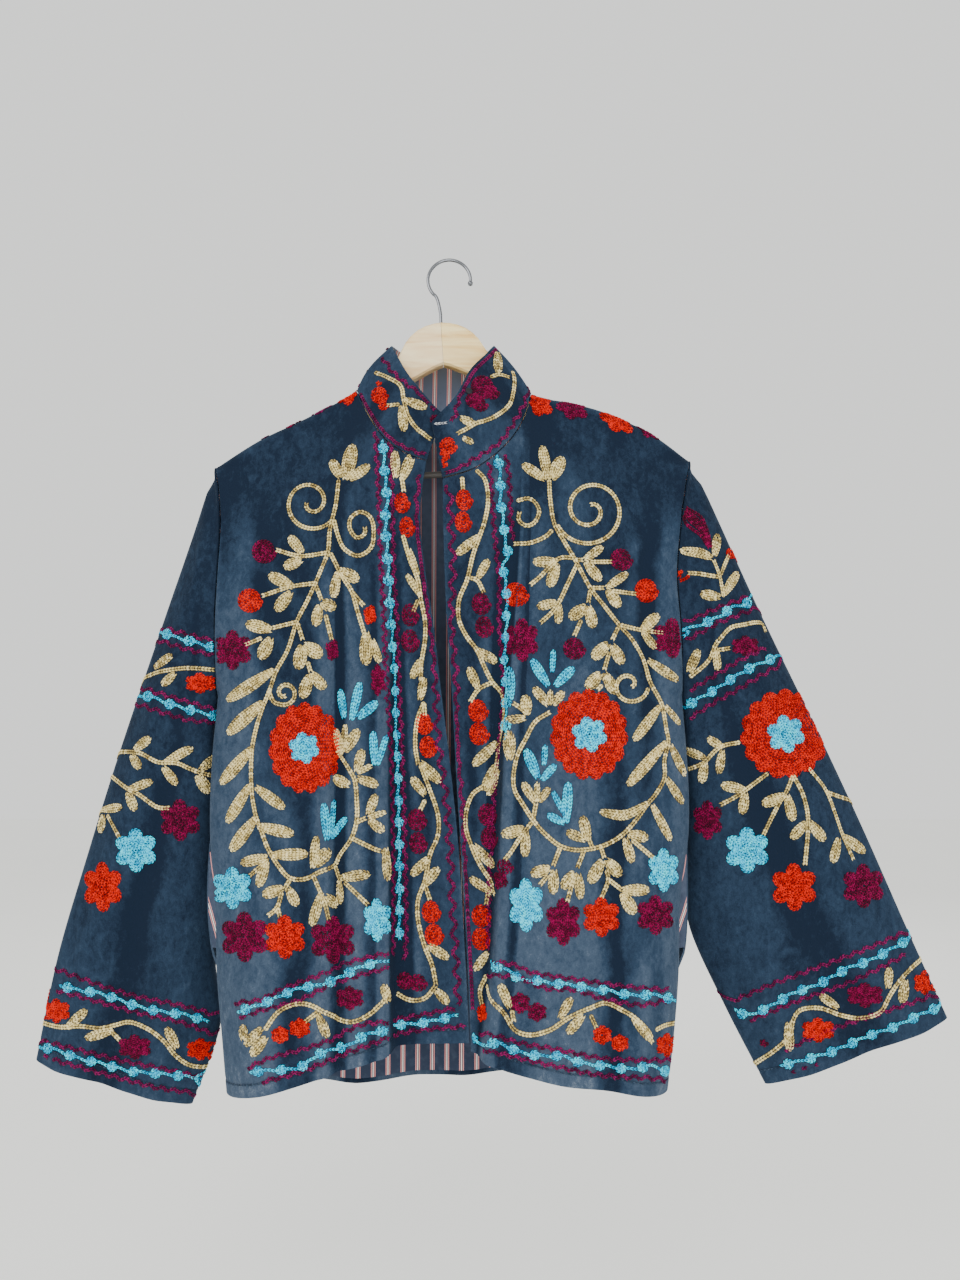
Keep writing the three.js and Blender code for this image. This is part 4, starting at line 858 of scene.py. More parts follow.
# A line of a design has a kind and then its items: points in the frame, and after them plain numbers.
# leaf: base to tip, width. dot: middle, radius across and (unless round) down. flower, bud: middle, the
# same. medal: middle, radii, radius of its core. curl: start, centre, end radius, turns. stem, line,
# wave, edge and chain: their points. The letter after leaf, dot, flower, bud and line is the colour.
DESIGNS = {}
DESIGNS["right"] = """
leafb 341,478 332,461 10; 346,480 353,446 14; 350,480 369,466 10
stem 339,480 336,505 330,530 328,552 318,578 308,600 297,622 288,650 276,672 270,690 262,710 256,730 \
    252,752 252,790 256,815 262,832 268,848 278,865 290,878 305,879 318,873 334,865 340,856 352,838 \
    357,820 357,800 355,780 350,770 342,757 336,750
curl 331,522 311,503 4 1.38
stem 334,520 338,535 345,549 358,556 371,548 374,532 371,518 361,512 351,518 350,529 357,538 365,534 365,527
stem 327,553 300,556 276,550
leafb 303,553 290,537 10; 302,560 285,567 11
dotm 264,551 12
stem 330,553 338,568 345,580 352,592 358,612 364,632
leafb 340,570 358,580 12; 338,572 333,597 10; 366,632 366,664 12; 372,640 380,662 8
stem 352,592 364,606
budo 370,615 6 11
flowerm 378,680 7 17
stem 318,583 290,587 262,596
leafb 293,587 270,575 11; 291,592 277,610 12
doto 250,600 12
stem 316,585 322,600
leafb 322,602 334,608 12; 320,605 316,625 11
stem 326,615 331,640
budm 332,650 6 12
stem 297,622 273,628
leafb 272,630 247,624 12; 271,638 261,658 13
stem 262,638 245,645
flowerm 233,650 20 20
stem 298,623 303,640
leafb 304,645 322,655 14; 302,645 299,668 13; 311,673 325,688 11; 310,675 303,697 12
stem 308,662 311,672
leafb 274,670 228,700 12; 263,702 229,733 13; 252,748 222,783 12; 250,785 228,822 11; 256,787 284,808 10
leafb 256,818 232,850 12; 258,826 293,834 11; 272,855 307,854 11; 268,857 242,863 10; 267,862 259,886 10
stem 269,690 274,702 283,705
curl 283,705 285,693 3 -1.1
stem 268,860 250,876; 290,880 284,890
leafb 283,888 264,895 11; 288,888 297,905 10
stem 282,892 277,908 268,916; 277,905 280,917; 313,875 320,890 324,900 328,920
leafb 322,893 312,925 10; 325,896 336,906 10
stem 334,866 341,880
leafb 341,878 369,874 10; 340,880 341,903 8
stem 345,882 368,905; 352,838 372,848 384,852
leafb 385,848 387,880 8
stem 357,822 366,818
leafb 368,815 376,795 9; 368,818 385,812 5; 369,820 383,831 9; 350,785 333,778 11; 357,772 362,750 9
leafb 357,778 378,785 9; 358,773 372,765 5; 342,755 335,730 10; 344,752 346,725 6; 346,752 358,730 10
leafb 313,868 317,837 9; 316,866 328,850 12
leafc 345,718 341,690 8; 352,720 360,683 8; 358,718 377,702 9; 375,765 373,732 8; 378,765 386,735 4
leafc 327,840 324,804 7; 330,838 333,800 3; 330,838 347,818 7
medal 305,748 36 46 16
flowerc 233,888 21 21
flowerm 245,937 25 25; 333,940 24 24
flowero 285,937 22 22
flowerc 377,920 14 22
wave 376,432 379,500 381,560 384,620 386,680 390,760 392,860 392,955
chain 383,440 385,475 387,500 385,520 387,560 389,600 391,640 394,680 395,720 397,760 398,800 399,850 \
    399,900 399,940
wave 390,440 392,480 393,540 394,580 397,620 399,680 401,720 403,780 405,850 406,940 405,960
wave 235,1003 260,1000 280,990 320,975 350,962 388,953
chain 238,1012 262,1004 282,995 300,988 320,985 345,975 360,967 388,960
wave 240,1017 270,1008 300,1000 330,985 360,975 388,968
wave 248,1068 270,1058 300,1050 330,1040 360,1025 388,1022
chain 250,1072 275,1070 298,1068 318,1055 330,1050 350,1045 365,1035 388,1030
wave 262,1082 300,1072 330,1060 360,1048 388,1038
wave 392,1020 420,1015 455,1008
chain 392,1025 420,1023 458,1015
wave 392,1035 420,1030 465,1026
stem 265,1030 278,1012 295,1004 310,1005 330,1015 350,1022 365,1017 382,1003 388,990
leafb 262,1028 246,1045 9; 266,1037 252,1055 10; 244,1040 244,1026 9; 388,1002 383,985 8; 318,1013 \
    327,1037 8
stem 318,1012 305,1022
flowerm 350,998 15 12
flowero 300,1028 12 10; 280,1035 10 9
leafb 396,478 395,452 9; 402,480 412,455 10
stem 402,478 404,492
doto 402,502 8 12; 407,526 8 12
stem 403,535 410,560 418,580 421,600 425,620 425,640 421,665 421,680
leafb 418,575 408,548 6; 420,595 407,575 6; 420,660 412,678 8; 420,700 424,678 8
stem 418,600 413,612
dotm 410,614 8.5 13; 410,640 9 13
stem 424,702 417,720 415,745 418,765; 424,703 425,716
doto 424,723 9 12; 428,746 9 12
stem 420,765 430,790 438,815 438,835 430,855 425,880 418,900 418,920 424,945 432,965 436,985
leafb 420,762 440,782 10; 425,795 412,778 9; 428,858 412,875 9; 425,885 438,868 9; 428,945 448,958 9; \
    436,990 448,1003 9
stem 425,800 420,810
dotm 417,819 9.5 12; 418,842 9 12
stem 425,885 430,900
doto 431,911 9.5 12; 434,934 9.5 12
dotm 405,980 9; 418,982 9
stem 396,993 410,1000 425,998 436,985
edge 421,475 418,500 420,530 424,560 430,620 434,650 436,690 438,740 442,770 446,800 450,850 452,900 \
    456,960 458,1005
"""

DESIGNS["left"] = """
leafb 545,480 523,465 10; 548,480 542,447 10; 552,480 562,458 13
stem 549,480 550,500 554,524 563,540 575,560 590,588 604,606 619,625 632,640 643,660 650,682 657,695 \
    662,706 666,730 668,742 664,760 664,778 655,795 648,803 636,820 622,835 605,845 590,849 575,850 \
    560,846 545,834 533,820 522,803 514,790 513,775 517,755 525,740 535,722 550,712
curl 557,525 590,510 5 -1.68
stem 552,530 545,537 530,543 514,544; 517,501 530,499 539,510 535,522 526,526 519,520 520,512
stem 575,560 583,560; 590,562 612,562
leafb 584,560 602,547 8; 585,562 600,580 10
dotm 621,559 11
stem 574,558 560,558 550,566 540,577 530,585
leafb 558,562 534,562 10; 557,565 549,586 11
doto 516,594 12
stem 577,564 567,585 560,600 552,612 540,623
leafb 556,602 538,607 9; 559,605 558,623 8
flowerm 522,640 17 22
stem 592,588 604,588; 612,591 636,594
leafb 606,588 627,573 8; 607,590 619,606 11
doto 646,590 12
stem 590,590 588,603
leafb 586,606 570,618 12; 588,606 593,627 11
stem 581,620 574,636
dotm 574,648 11
stem 620,625 640,630 664,633
leafb 641,631 658,615 11; 642,632 656,648 8
flowerm 672,638 20 20
stem 618,627 612,640
leafb 608,643 593,658 12; 612,645 622,663 11
stem 609,652 604,670
leafb 600,673 587,688 12; 604,673 615,693 11
stem 602,685 597,690
curl 648,688 629,685 3 1.1
leafb 648,660 677,680 9; 660,706 634,740 10; 665,706 679,724 6; 666,742 628,785 11; 670,745 684,775 8
leafb 666,778 682,803 8; 648,803 625,815 600,812 9; 652,805 670,840 8; 628,834 647,838 11; 625,838 632,862 9
stem 632,840 653,858; 600,846 604,858
leafb 602,860 590,882 12; 606,860 620,875 12
stem 606,870 608,880 601,898; 609,880 622,890
leafb 622,890 648,890 11; 622,893 634,913 12
stem 584,850 577,868
leafb 574,872 563,888 11; 578,874 580,898 9
stem 573,880 567,902; 560,848 553,866
leafb 550,868 532,874 11; 554,870 553,893 10
stem 548,875 540,885
leafb 588,840 582,817 10; 585,840 567,832 9
stem 592,848 588,838; 533,820 536,803
leafb 535,802 523,783 8; 537,802 537,782 5; 539,802 549,788 7
stem 532,822 520,838 505,860
leafb 524,828 503,835 11; 526,832 525,856 9
dotm 505,866 8
budm 501,880 7 10
leafb 548,705 534,688 9; 550,705 550,690 4; 553,705 563,692 8; 527,715 525,696 11; 525,718 507,720 8; \
    510,760 509,732 11
stem 528,714 513,703
leafc 548,686 532,660 9; 552,672 553,650 5; 555,686 573,668 9; 511,700 510,668 9; 538,778 526,750 10
leafc 544,765 545,745 5; 542,780 555,765 7; 566,823 568,783 9; 564,823 548,815 7; 563,812 553,792 4
medal 588.8,734.5 39 46 18
flowerc 526,905 18 27
flowerm 563,922 18 24
flowero 601,917 20 20
flowerm 655,915 20 20
flowerc 663,870 16 22
wave 489,460 492,500 495,540 499,580 499,620 502,660 504,690 500,740 494,800 490,870 488,950
chain 497,455 500,480 500,500 503,520 505,540 508,555 503,565 506,585 507,605 506,640 505,655 507,700 \
    506,740
wave 506,455 509,480 511,520 513,540
wave 493,962 515,965 530,972 560,977 600,983 640,988 668,990
chain 492,960 497,967 512,972 520,980 535,980 550,983 573,985 590,989 605,990 630,995 655,995 667,998 \
    683,1007
wave 488,975 520,978 545,988 575,990 600,998 640,1005 668,1000
wave 480,1033 500,1037 520,1043 560,1050 600,1058 640,1060 670,1060
chain 466,1033 482,1045 497,1043 520,1052 543,1056 562,1056 582,1063 607,1066 630,1069 652,1066 668,1073
wave 484,1050 520,1058 550,1065 600,1075 650,1078 665,1080
stem 488,985 492,1000 505,1015 515,1030 530,1035 550,1030 570,1017 590,1008 605,1003 622,1010 635,1018 \
    645,1030 652,1043
leafb 510,1008 500,985 9; 560,1018 571,998 8; 583,1015 568,1033 9; 633,1017 651,1040 9
stem 590,1015 596,1028; 512,1010 514,1022; 655,1030 665,1025 680,1022
flowero 602,1035 11 10; 620,1043 10 9; 666,1045 12 12
flowerm 520,1003 11 11; 537,1012 11 10
stem 476,470 485,480 488,500 485,520 480,535 473,555 467,580 459,600 459,620 467,637 477,650 485,668 \
    492,682 503,695 505,715 502,735 498,755 494,775 485,785 472,795 466,812 466,830 473,850 482,868 \
    490,880 496,895
leafb 479,536 457,554 9; 478,578 488,560 8; 478,650 496,662 9; 478,688 469,668 9; 497,742 474,765 10
leafb 495,765 484,790 9; 500,770 488,795 7; 474,845 494,867 9; 492,893 470,878 8; 488,952 475,970 8
stem 470,578 477,580 484,593; 492,682 478,690 470,702; 488,893 486,905; 462,477 463,490; 487,975 \
    480,990 482,1005
doto 464,499 8.5 12; 463,521 8.5 12
dotm 481,603 9.5 12; 484,626 9 12
doto 478,710 10 12; 479,733 10 12
dotm 488,814 10 12; 490,837 9.5 12
doto 481,915 9.5 12; 481,938 9.5 12
budo 483,1013 6 10
edge 447,485 450,500 451,530 453,560 452,600 451,620 453,650 456,680 455,720 457,760 461,800 463,850 \
    464,900 466,960 468,1010
"""

DESIGNS["collar_right"] = """
wave 382,358 390,370 400,380 410,387 420,393 430,398 445,405
wave 357,395 363,407 372,420 380,430 390,440 400,446 410,450 420,453 428,457
stem 374,373 387,378 400,386 403,398 407,415 416,428 426,436 436,443
leafb 404,400 426,408 9; 401,406 404,431 9
stem 399,405 386,406
doto 378,383 4; 379,395 9; 383,405 6
dotm 435,419 6
"""

DESIGNS["collar_left"] = """
wave 497,350 485,355 477,365 470,375 465,385 460,395 457,405 455,415 452,422
wave 531,385 524,406 511,428 500,443 483,454 476,458 460,468 446,477
dotm 483,387 12; 492,392 8; 473,400 8; 480,404 8
leafb 498,353 499,373 9; 460,418 474,424 8; 463,438 473,443 6
stem 491,378 499,375 510,378; 513,372 515,380 514,392 510,405 500,414 488,420 475,424 465,430 457,434
doto 448,445 9; 444,455 6; 443,463 5
lines 434,424 447,423; 433,427 434,436
"""

# The collar round the back of the neck, in mm: along the seam, and up from it.
DESIGNS["collar_back"] = """
wave 125,45 172,45 215,45 258,45 284,45
wave 125,5 172,5 215,5 258,5 284,5
stem 129,21 146,34 168,19 189,33 211,19 232,34 254,20 275,32
leafb 151,32 160,40 9; 173,21 165,12 9; 194,32 204,39 9; 216,21 207,11 9; 237,33 247,40 9; 259,22 250,13 9
dotm 142,14 8; 228,13 8
doto 184,15 8; 269,14 8
"""

DESIGNS["sleeve_right"] = """
wave 162,628 190,635 218,642
chain 160,631 175,637 194,642 215,648
wave 158,640 190,650 216,655
stem 145,678 160,672 187,668 217,670
leafb 155,668 172,655 8; 175,673 163,685 8
flowero 200,683 16 10
wave 142,688 175,698 216,710
chain 140,696 151,697 173,705 207,714 216,716
wave 137,704 165,713 190,720 215,722
stem 122,752 140,753 158,762 177,763 193,770 212,776
leafb 135,750 150,738 9; 132,755 140,768 9; 165,762 192,748 9; 163,767 177,784 9; 200,770 214,757 9; \
    197,775 208,792 11
stem 113,777 127,788 140,795 157,807 170,808
leafb 128,790 152,781 8; 128,792 135,810 9; 103,810 122,807 8; 104,815 101,832 8
stem 108,815 120,838
flowerm 180,820 21 21
flowerc 136,850 22 22
flowero 103,887 20 25
wave 56,969 100,985 140,997 180,1005 215,1015
chain 60,985 78,990 99,993 120,1000 144,1008 166,1012 188,1015 208,1022
wave 57,990 100,1002 140,1013 180,1022 216,1035
stem 40,1022 60,1027 80,1026 100,1028 115,1025 130,1022 150,1030 165,1042 175,1055 190,1065 212,1067
leafb 67,1028 86,1010 9; 113,1030 86,1038 9; 177,1048 167,1028 9
stem 110,1030 120,1040
flowero 57,1011 15 12
flowerm 135,1047 18 12
flowero 200,1049 15 11
wave 37,1040 80,1050 120,1060 160,1068 205,1078
chain 40,1047 57,1050 78,1058 101,1063 130,1071 153,1073 176,1075 194,1077 207,1080
wave 37,1055 80,1067 120,1078 160,1088 200,1093
"""

DESIGNS["sleeve_left"] = """
leafm 710,548 693,508 11
stem 723,597 720,580 717,570 713,560
leafb 712,558 693,550 9; 714,556 717,535 9; 720,597 701,594 10; 723,595 737,573 9
stem 720,575 728,555; 718,577 695,573
doto 730,553 6; 689,575 7 8
wave 690,620 713,610 747,597
chain 683,640 690,630 700,625 707,622 720,616 731,608 745,604 750,598
wave 690,638 720,622 757,608
stem 690,677 707,662 717,643 730,628 742,625 760,623 765,632
leafb 690,672 698,650 9; 716,648 718,670 7
stem 718,650 730,648
flowerm 745,646 15 10
wave 690,690 715,675 740,660 765,648
chain 685,708 698,699 716,689 731,679 752,667 776,657
wave 690,718 715,702 740,688 765,673 780,665
medal 785,734 45 45 19
stem 740,742 720,747 703,763 687,770
leafb 722,747 708,738 8; 722,750 719,773 8; 705,758 687,750 8; 705,762 702,782 9
stem 768,773 752,785 735,797 720,805
leafb 745,790 722,785 10; 745,793 742,813 10
stem 793,775 787,790 778,805 763,835
leafb 785,795 763,804 11; 787,795 793,820 10
stem 793,775 803,795 808,820 805,865
leafb 806,822 792,838 10; 810,822 824,840 10
stem 808,768 825,790 835,815 842,835 853,860; 825,792 848,800
leafb 838,838 833,862 9; 842,836 864,852 10
flowerm 708,820 15 20
flowerc 747,850 23 23
flowero 794,887 24 24
flowerm 863,886 22 22
wave 735,1000 770,985 810,970 850,955 880,943 905,932
chain 735,1008 748,1015 770,1006 793,993 816,985 835,975 850,967 870,960 889,950 910,938
wave 750,1020 800,1000 850,982 905,955
stem 760,1060 775,1050 790,1035 793,1020 800,1010 820,1008 840,1015 860,1018 880,1012 890,995 900,980 \
    912,967 920,960
leafb 788,1022 790,1050 9; 838,1008 820,995 8; 888,988 889,968 8; 905,980 902,1002 10
flowero 818,1030 18 12
flowerm 865,995 20 12
flowero 924,983 12 12
dotm 764,1042 5
wave 785,1050 830,1030 880,1013 935,995
chain 780,1065 795,1062 827,1053 849,1044 870,1035 893,1027 917,1016 940,1006
wave 785,1075 830,1062 880,1045 940,1020
"""

# Flowers that lie over the shoulders: X, how far in front of the ridge, radii.
SHOULDER_FLOWERS = [
    ("orange", -100, 5, 14, 12), ("wine", -130, -1, 14, 11), ("magenta", -160, -2, 13, 11),
    ("wine", -186, -4, 12, 11), ("orange", 92, 14, 15, 15), ("magenta", 126, 12, 17, 13),
    ("orange", 171, 10, 18, 14), ("magenta", 203, 2, 13, 12),
]

# -------------------- looks


def linear(share):
    return share / 12.92 if share <= 0.04045 else ((share + 0.055) / 1.055) ** 2.4


def srgb(r, g, b):
    return (linear(r / 255), linear(g / 255), linear(b / 255), 1.0)


class Look:
    """A node material round one Principled shader."""

    def __init__(self, name, **sockets):
        self.material = bpy.data.materials.new(name)
        self.material.use_nodes = True
        self.tree = self.material.node_tree
        self.shader = self.tree.nodes["Principled BSDF"]
        for key, value in sockets.items():
            self.shader.inputs[key.replace("_", " ")].default_value = value
        self.place = self.tree.nodes.new("ShaderNodeTexCoord").outputs["Object"]

    def node(self, kind, **settings):
        made = self.tree.nodes.new(kind)
        for key, value in settings.items():
            setattr(made, key, value)
        return made

    def feed(self, socket, value):
        """Sets a constant on a socket, or links another node's output to it."""
        if isinstance(value, (int, float, tuple)):
            socket.default_value = value
        else:
            self.tree.links.new(value, socket)

    def noise(self, scale, detail=3.0, stretch=(1, 1, 1), distortion=0.0):
        moved = self.node("ShaderNodeMapping")
        moved.inputs["Scale"].default_value = stretch
        self.feed(moved.inputs["Vector"], self.place)
        made = self.node("ShaderNodeTexNoise")
        self.feed(made.inputs["Vector"], moved.outputs["Vector"])
        for key, value in (("Scale", scale), ("Detail", detail), ("Distortion", distortion)):
            made.inputs[key].default_value = value
        return made.outputs["Fac"]

    def attribute(self, name):
        return self.node("ShaderNodeAttribute", attribute_name=name).outputs["Fac"]

    def height(self):
        """Z of the place, in metres below the hook."""
        made = self.node("ShaderNodeSeparateXYZ")
        self.feed(made.inputs[0], self.place)
        return made.outputs["Z"]

    def math(self, operation, a, b=0.0):
        made = self.node("ShaderNodeMath", operation=operation)
        self.feed(made.inputs[0], a)
        self.feed(made.inputs[1], b)
        return made.outputs[0]

    def total(self, start, *terms):
        """start plus weight times (value - middle), for each (value, weight, middle)."""
        made = start
        for value, weight, middle in terms:
            shifted = self.math("SUBTRACT", value, middle)
            made = self.math("ADD", self.math("MULTIPLY", shifted, weight), made)
        return made

    def ramp(self, factor, *stops):
        made = self.node("ShaderNodeValToRGB")
        steps = made.color_ramp.elements
        while len(steps) < len(stops):
            steps.new(0.5)
        for step, (at, colour) in zip(steps, stops):
            step.position, step.color = at, colour
        self.feed(made.inputs["Fac"], factor)
        return made.outputs["Color"]

    def blend(self, factor, a, b):
        made = self.node("ShaderNodeMix", data_type="RGBA")
        self.feed(made.inputs[0], factor)
        self.feed(made.inputs[6], a)
        self.feed(made.inputs[7], b)
        return made.outputs[2]

    def colour(self, value):
        self.feed(self.shader.inputs["Base Color"], value)

    def bump(self, height, distance, strength=1.0):
        made = self.node("ShaderNodeBump")
        made.inputs["Strength"].default_value = strength
        made.inputs["Distance"].default_value = distance
        self.feed(made.inputs["Height"], height)
        self.feed(self.shader.inputs["Normal"], made.outputs["Normal"])


def velvet_look():
    """Slate-blue pile, mottled by crushing; painted lighter on ridges and edges and darker in troughs
    (painted highlight and shade, the edges partly wear), and painted lighter lower down towards the hem.
    """
    look = Look("velvet", Roughness=0.9, Sheen_Weight=0.14, Sheen_Roughness=0.35,
                Sheen_Tint=srgb(150, 172, 196), Specular_IOR_Level=0.12)
    broad = look.noise(14, 3, (1, 1, 0.5), 0.3)
    patch = look.noise(70, 6, (1, 1, 0.6), 1.0)
    crush = look.noise(240, 4, (1, 1, 0.7), 0.6)
    pile = look.noise(900, 2)
    # Painted light: lighter lower down and darker higher up by height, plus the painted highlight, shade and
    # wear attribute; the noises are the pile's own mottling.
    pale = look.total(0.24, (look.attribute("painted_light_and_wear"), 0.3, 0.0), (broad, 0.25, 0.5), (patch, 0.5, 0.5),
                      (crush, 0.5, 0.5), (pile, 0.35, 0.5), (look.height(), -0.42, -0.62))
    look.colour(look.ramp(pale, (0.0, srgb(16, 29, 46)), (0.35, srgb(37, 54, 74)), (0.68, srgb(66, 80, 98)),
                          (1.0, srgb(118, 128, 142))))
    look.bump(look.total(0.0, (patch, 1.0, 0.5), (crush, 0.6, 0.5), (pile, 0.3, 0.5)), 0.0016, 0.7)
    return look.material


STRIPE_SPACING, STRIPE_HALF = 15.6, 0.033    # mm between groups, and half a stripe as a share of that
PINK, WHITE = srgb(222, 150, 146), srgb(246, 240, 234)
STRIPES = ((0.13, PINK), (0.25, WHITE), (0.37, PINK))


def striped_look():
    """Slate cotton with groups of three thin woven stripes, painted lighter higher up and darker lower down
    as painted light and shade.
    """
    look = Look("striped cotton", Roughness=0.85, Sheen_Weight=0.1, Specular_IOR_Level=0.2)
    place = look.math("FRACT", look.math("MULTIPLY", look.attribute("stripe"), 1 / STRIPE_SPACING))
    # Painted light: lighter higher up and darker lower down, as painted shade inside the jacket; the noise
    # is the cloth's uneven tone.
    mottle_and_painted_light = look.total(0.5, (look.noise(140, 3), 0.5, 0.5), (look.height(), 1.2, -0.5))
    colour = look.ramp(mottle_and_painted_light, (0.1, srgb(44, 54, 74)), (0.9, srgb(98, 110, 132)))
    for centre, thread in STRIPES:
        near = look.math("ABSOLUTE", look.math("SUBTRACT", place, centre))
        inside = look.math("LESS_THAN", near, STRIPE_HALF)
        colour = look.blend(inside, colour, thread)
    look.colour(colour)
    look.bump(look.noise(900, 2), 0.0004, 0.5)
    return look.material


def thread_look(name, dark, middle, light):
    """Wool: each stitch has its own tone, with darker specks, and each pad is painted darker at its sides
    and foot and lighter on top as painted shade.
    """
    look = Look(name, Roughness=0.85, Sheen_Weight=0.02, Specular_IOR_Level=0.08)
    tone = look.total(0.52, (look.attribute("tone"), 0.85, 0.5), (look.noise(420, 2), 0.5, 0.5))
    look.colour(look.ramp(tone, (0.1, dark), (0.5, middle), (0.9, light)))
    look.bump(look.noise(1500, 2), 0.0003, 0.6)
    return look.material


def wood_look(name, light, dark):
    look = Look(name, Roughness=0.5, Coat_Weight=0.12, Coat_Roughness=0.25)
    grain = look.noise(55, 5, (0.16, 1, 1.4), 1.2)
    pores = look.noise(300, 2, (0.1, 1, 1))
    tone = look.total(0.5, (grain, 1.5, 0.5), (pores, 0.35, 0.5))
    look.colour(look.ramp(tone, (0.2, dark), (0.8, light)))
    look.bump(grain, 0.0004, 0.35)
    return look.material


def metal_look(name, colour, darker, roughness, metallic):
    look = Look(name, Metallic=metallic)
    scuffs = look.noise(420, 4, (1, 1, 0.3))
    look.colour(look.blend(scuffs, colour, darker))
    look.feed(look.shader.inputs["Roughness"], look.total(roughness, (scuffs, 0.2, 0.5)))
    return look.material


velvet, striped = velvet_look(), striped_look()
THREADS = {
    "beige": thread_look("beige wool", srgb(108, 86, 42), srgb(222, 200, 130), srgb(255, 238, 180)),
    "orange": thread_look("orange wool", srgb(112, 4, 0), srgb(196, 12, 0), srgb(232, 38, 0)),
    "magenta": thread_look("magenta wool", srgb(46, 0, 20), srgb(98, 0, 44), srgb(142, 0, 72)),
    "cyan": thread_look("cyan wool", srgb(0, 116, 164), srgb(0, 206, 246), srgb(70, 242, 255)),
    "wine": thread_look("wine wool", srgb(52, 0, 34), srgb(104, 6, 66), srgb(140, 24, 92)),
    "silver": thread_look("silver thread", srgb(120, 122, 128), srgb(182, 184, 190), srgb(226, 226, 230)),
    "slate": thread_look("slate thread", srgb(22, 36, 52), srgb(44, 60, 80), srgb(70, 88, 108)),
}
THREAD_NAMES = list(THREADS)
wood_right = wood_look("pale wood", srgb(255, 234, 186), srgb(228, 184, 122))
wood_left = wood_look("yellower wood", srgb(255, 230, 166), srgb(226, 178, 98))
# Painted shade: the bar is the same wood look coloured darker and greyer for the shadow it hangs in inside
# the jacket.
shaded_bar_wood = wood_look("shaded wood", srgb(112, 106, 100), srgb(78, 74, 70))
steel = metal_look("steel", srgb(128, 130, 134), srgb(100, 102, 106), 0.2, 1.0)
dark_metal = metal_look("dark metal", srgb(46, 48, 54), srgb(26, 27, 31), 0.4, 0.7)

# -------------------- cloth


def flat_seams(normals, seam):
    """Where a front meets the back the wall isn't leaned forward or back."""
    flat = unit(normals * [1, 0, 1])
    return np.where(seam[..., None], flat, normals)


def turned(normals, sign):
    """Normals that face +Y or -Y."""
    return normals if np.sign(normals[..., 1].mean()) == sign else -normals


NEAR_SEAM = 0.5          # columns this near a neck point belong to it
SIDE_SEAM_TOP = UNDERARM_Z + 4


# Paler along the hem's fold: painted highlight, partly wear.
def hem_highlight_and_wear(rows):
    return 0.08 * np.exp(-np.abs(rows[..., 2] - rows[-1:, :, 2]) / 6)


def build_front(name, front, rows):
    normals = turned(grid_normals(rows), -1)
    seam = np.zeros(rows.shape[:2], bool)
    seam[0] = (front["neck"] - rows[0, :, 0]) * front["toward"] > -NEAR_SEAM
    seam[:, 0] |= rows[:, 0, 2] < SIDE_SEAM_TOP
    normals = flat_seams(normals, seam)
    rows = groove(rows, normals, rows[..., 2] - rows[-1:, :, 2])
    # The hem and the rounded front edge are painted paler: painted highlight on these fold edges, partly
    # wear.
    painted_light_and_wear = hem_highlight_and_wear(rows) + 0.5 * np.exp(-np.abs(rows[..., 0] - rows[:, -1:, 0]) / 4)
    return shell(name, rows, VELVET, [velvet, striped], normals, edge_painted_light_and_wear=painted_light_and_wear)


def build_back():
    rows = BACK_ROWS
    normals = turned(grid_normals(rows), 1)
    seam = np.zeros(rows.shape[:2], bool)
    top = rows[0, :, 0]
    seam[0] = (top < RIGHT_FRONT["neck"] + NEAR_SEAM) | (top > LEFT_FRONT["neck"] - NEAR_SEAM)
    for column in (0, -1):
        seam[:, column] |= rows[:, column, 2] < SIDE_SEAM_TOP
    normals = flat_seams(normals, seam)
    rows = groove(rows, normals, rows[..., 2] - rows[-1:, :, 2])
    return shell("back_cloth", rows, VELVET, [velvet, velvet], normals, edge_painted_light_and_wear=hem_highlight_and_wear(rows))


LINING_INSET = {"columns": 7, "shoulder": 25, "neck": 3, "hem": 5}
LINING_STEPS, COLLAR_STEPS = 90, 15


def build_lining():
    shares, is_neck = back_columns()
    keep = slice(LINING_INSET["columns"], -LINING_INSET["columns"])
    columns = (shares[keep], is_neck[keep])
    top, hem = back_ends(columns)
    in_neck = columns[1] & (columns[0] > 0) & (columns[0] < 1)
    start = np.where(in_neck, LINING_INSET["neck"], LINING_INSET["shoulder"])
    share = np.linspace(0, 1, LINING_STEPS)[:, None]
    z = top - (start + share * (top - hem - LINING_INSET["hem"] - start))
    rows = offset_point(back_point, back_x(columns, z), z, VELVET / 2 + SEAM_GAP + LINING / 2)
    return shell("lining_cloth", rows, LINING, [striped], turned(grid_normals(rows), -1))


def build_collar():
    ups = np.linspace(0, 1, COLLAR_STEPS)[:, None]
    rows = collar_point(SEAM_SHARES[None, :], ups)
    normals = grid_normals(rows)
    out = np.einsum("ijk,ijk->ij", normals, collar_outward(rows)).mean()
    # The collar's edges are painted paler, painted highlight and partly wear, and the whole collar is
    # coloured darker.
    edge = 0.3 * (np.exp(-ups / 0.06) + np.exp(-(1 - ups) / 0.06)) - 0.15
    normals = normals * np.sign(out)
    return shell("collar_cloth", rows, COLLAR_CLOTH, [velvet, striped], normals, edge_painted_light_and_wear=edge)


def build_sleeve(name, sleeve):
    turns = np.arange(SLEEVE_TURNS) * 360 / SLEEVE_TURNS
    rows = sleeve_point(sleeve, SLEEVE_STEPS[:, None], turns[None, :])
    normals = grid_normals(rows, True)
    out = sleeve_outward(sleeve, SLEEVE_STEPS[:, None] + 0 * turns, rows)
    normals = normals * np.sign(np.einsum("ijk,ijk->ij", normals, out).mean())
    height = (1 - SLEEVE_STEPS[:, None]) * SLEEVE_LENGTH + 0 * turns
    rows = groove(rows, normals, height)
    # The cuff's edge is painted paler, painted highlight and partly wear; the relief's painted highlight and
    # shade are weaker, and the whole sleeve is coloured darker.
    return shell(name, rows, VELVET, [velvet, striped], normals, ring=True,
                 edge_painted_light_and_wear=0.25 * np.exp(-height / 6), relief=0.45, pale=-0.62)


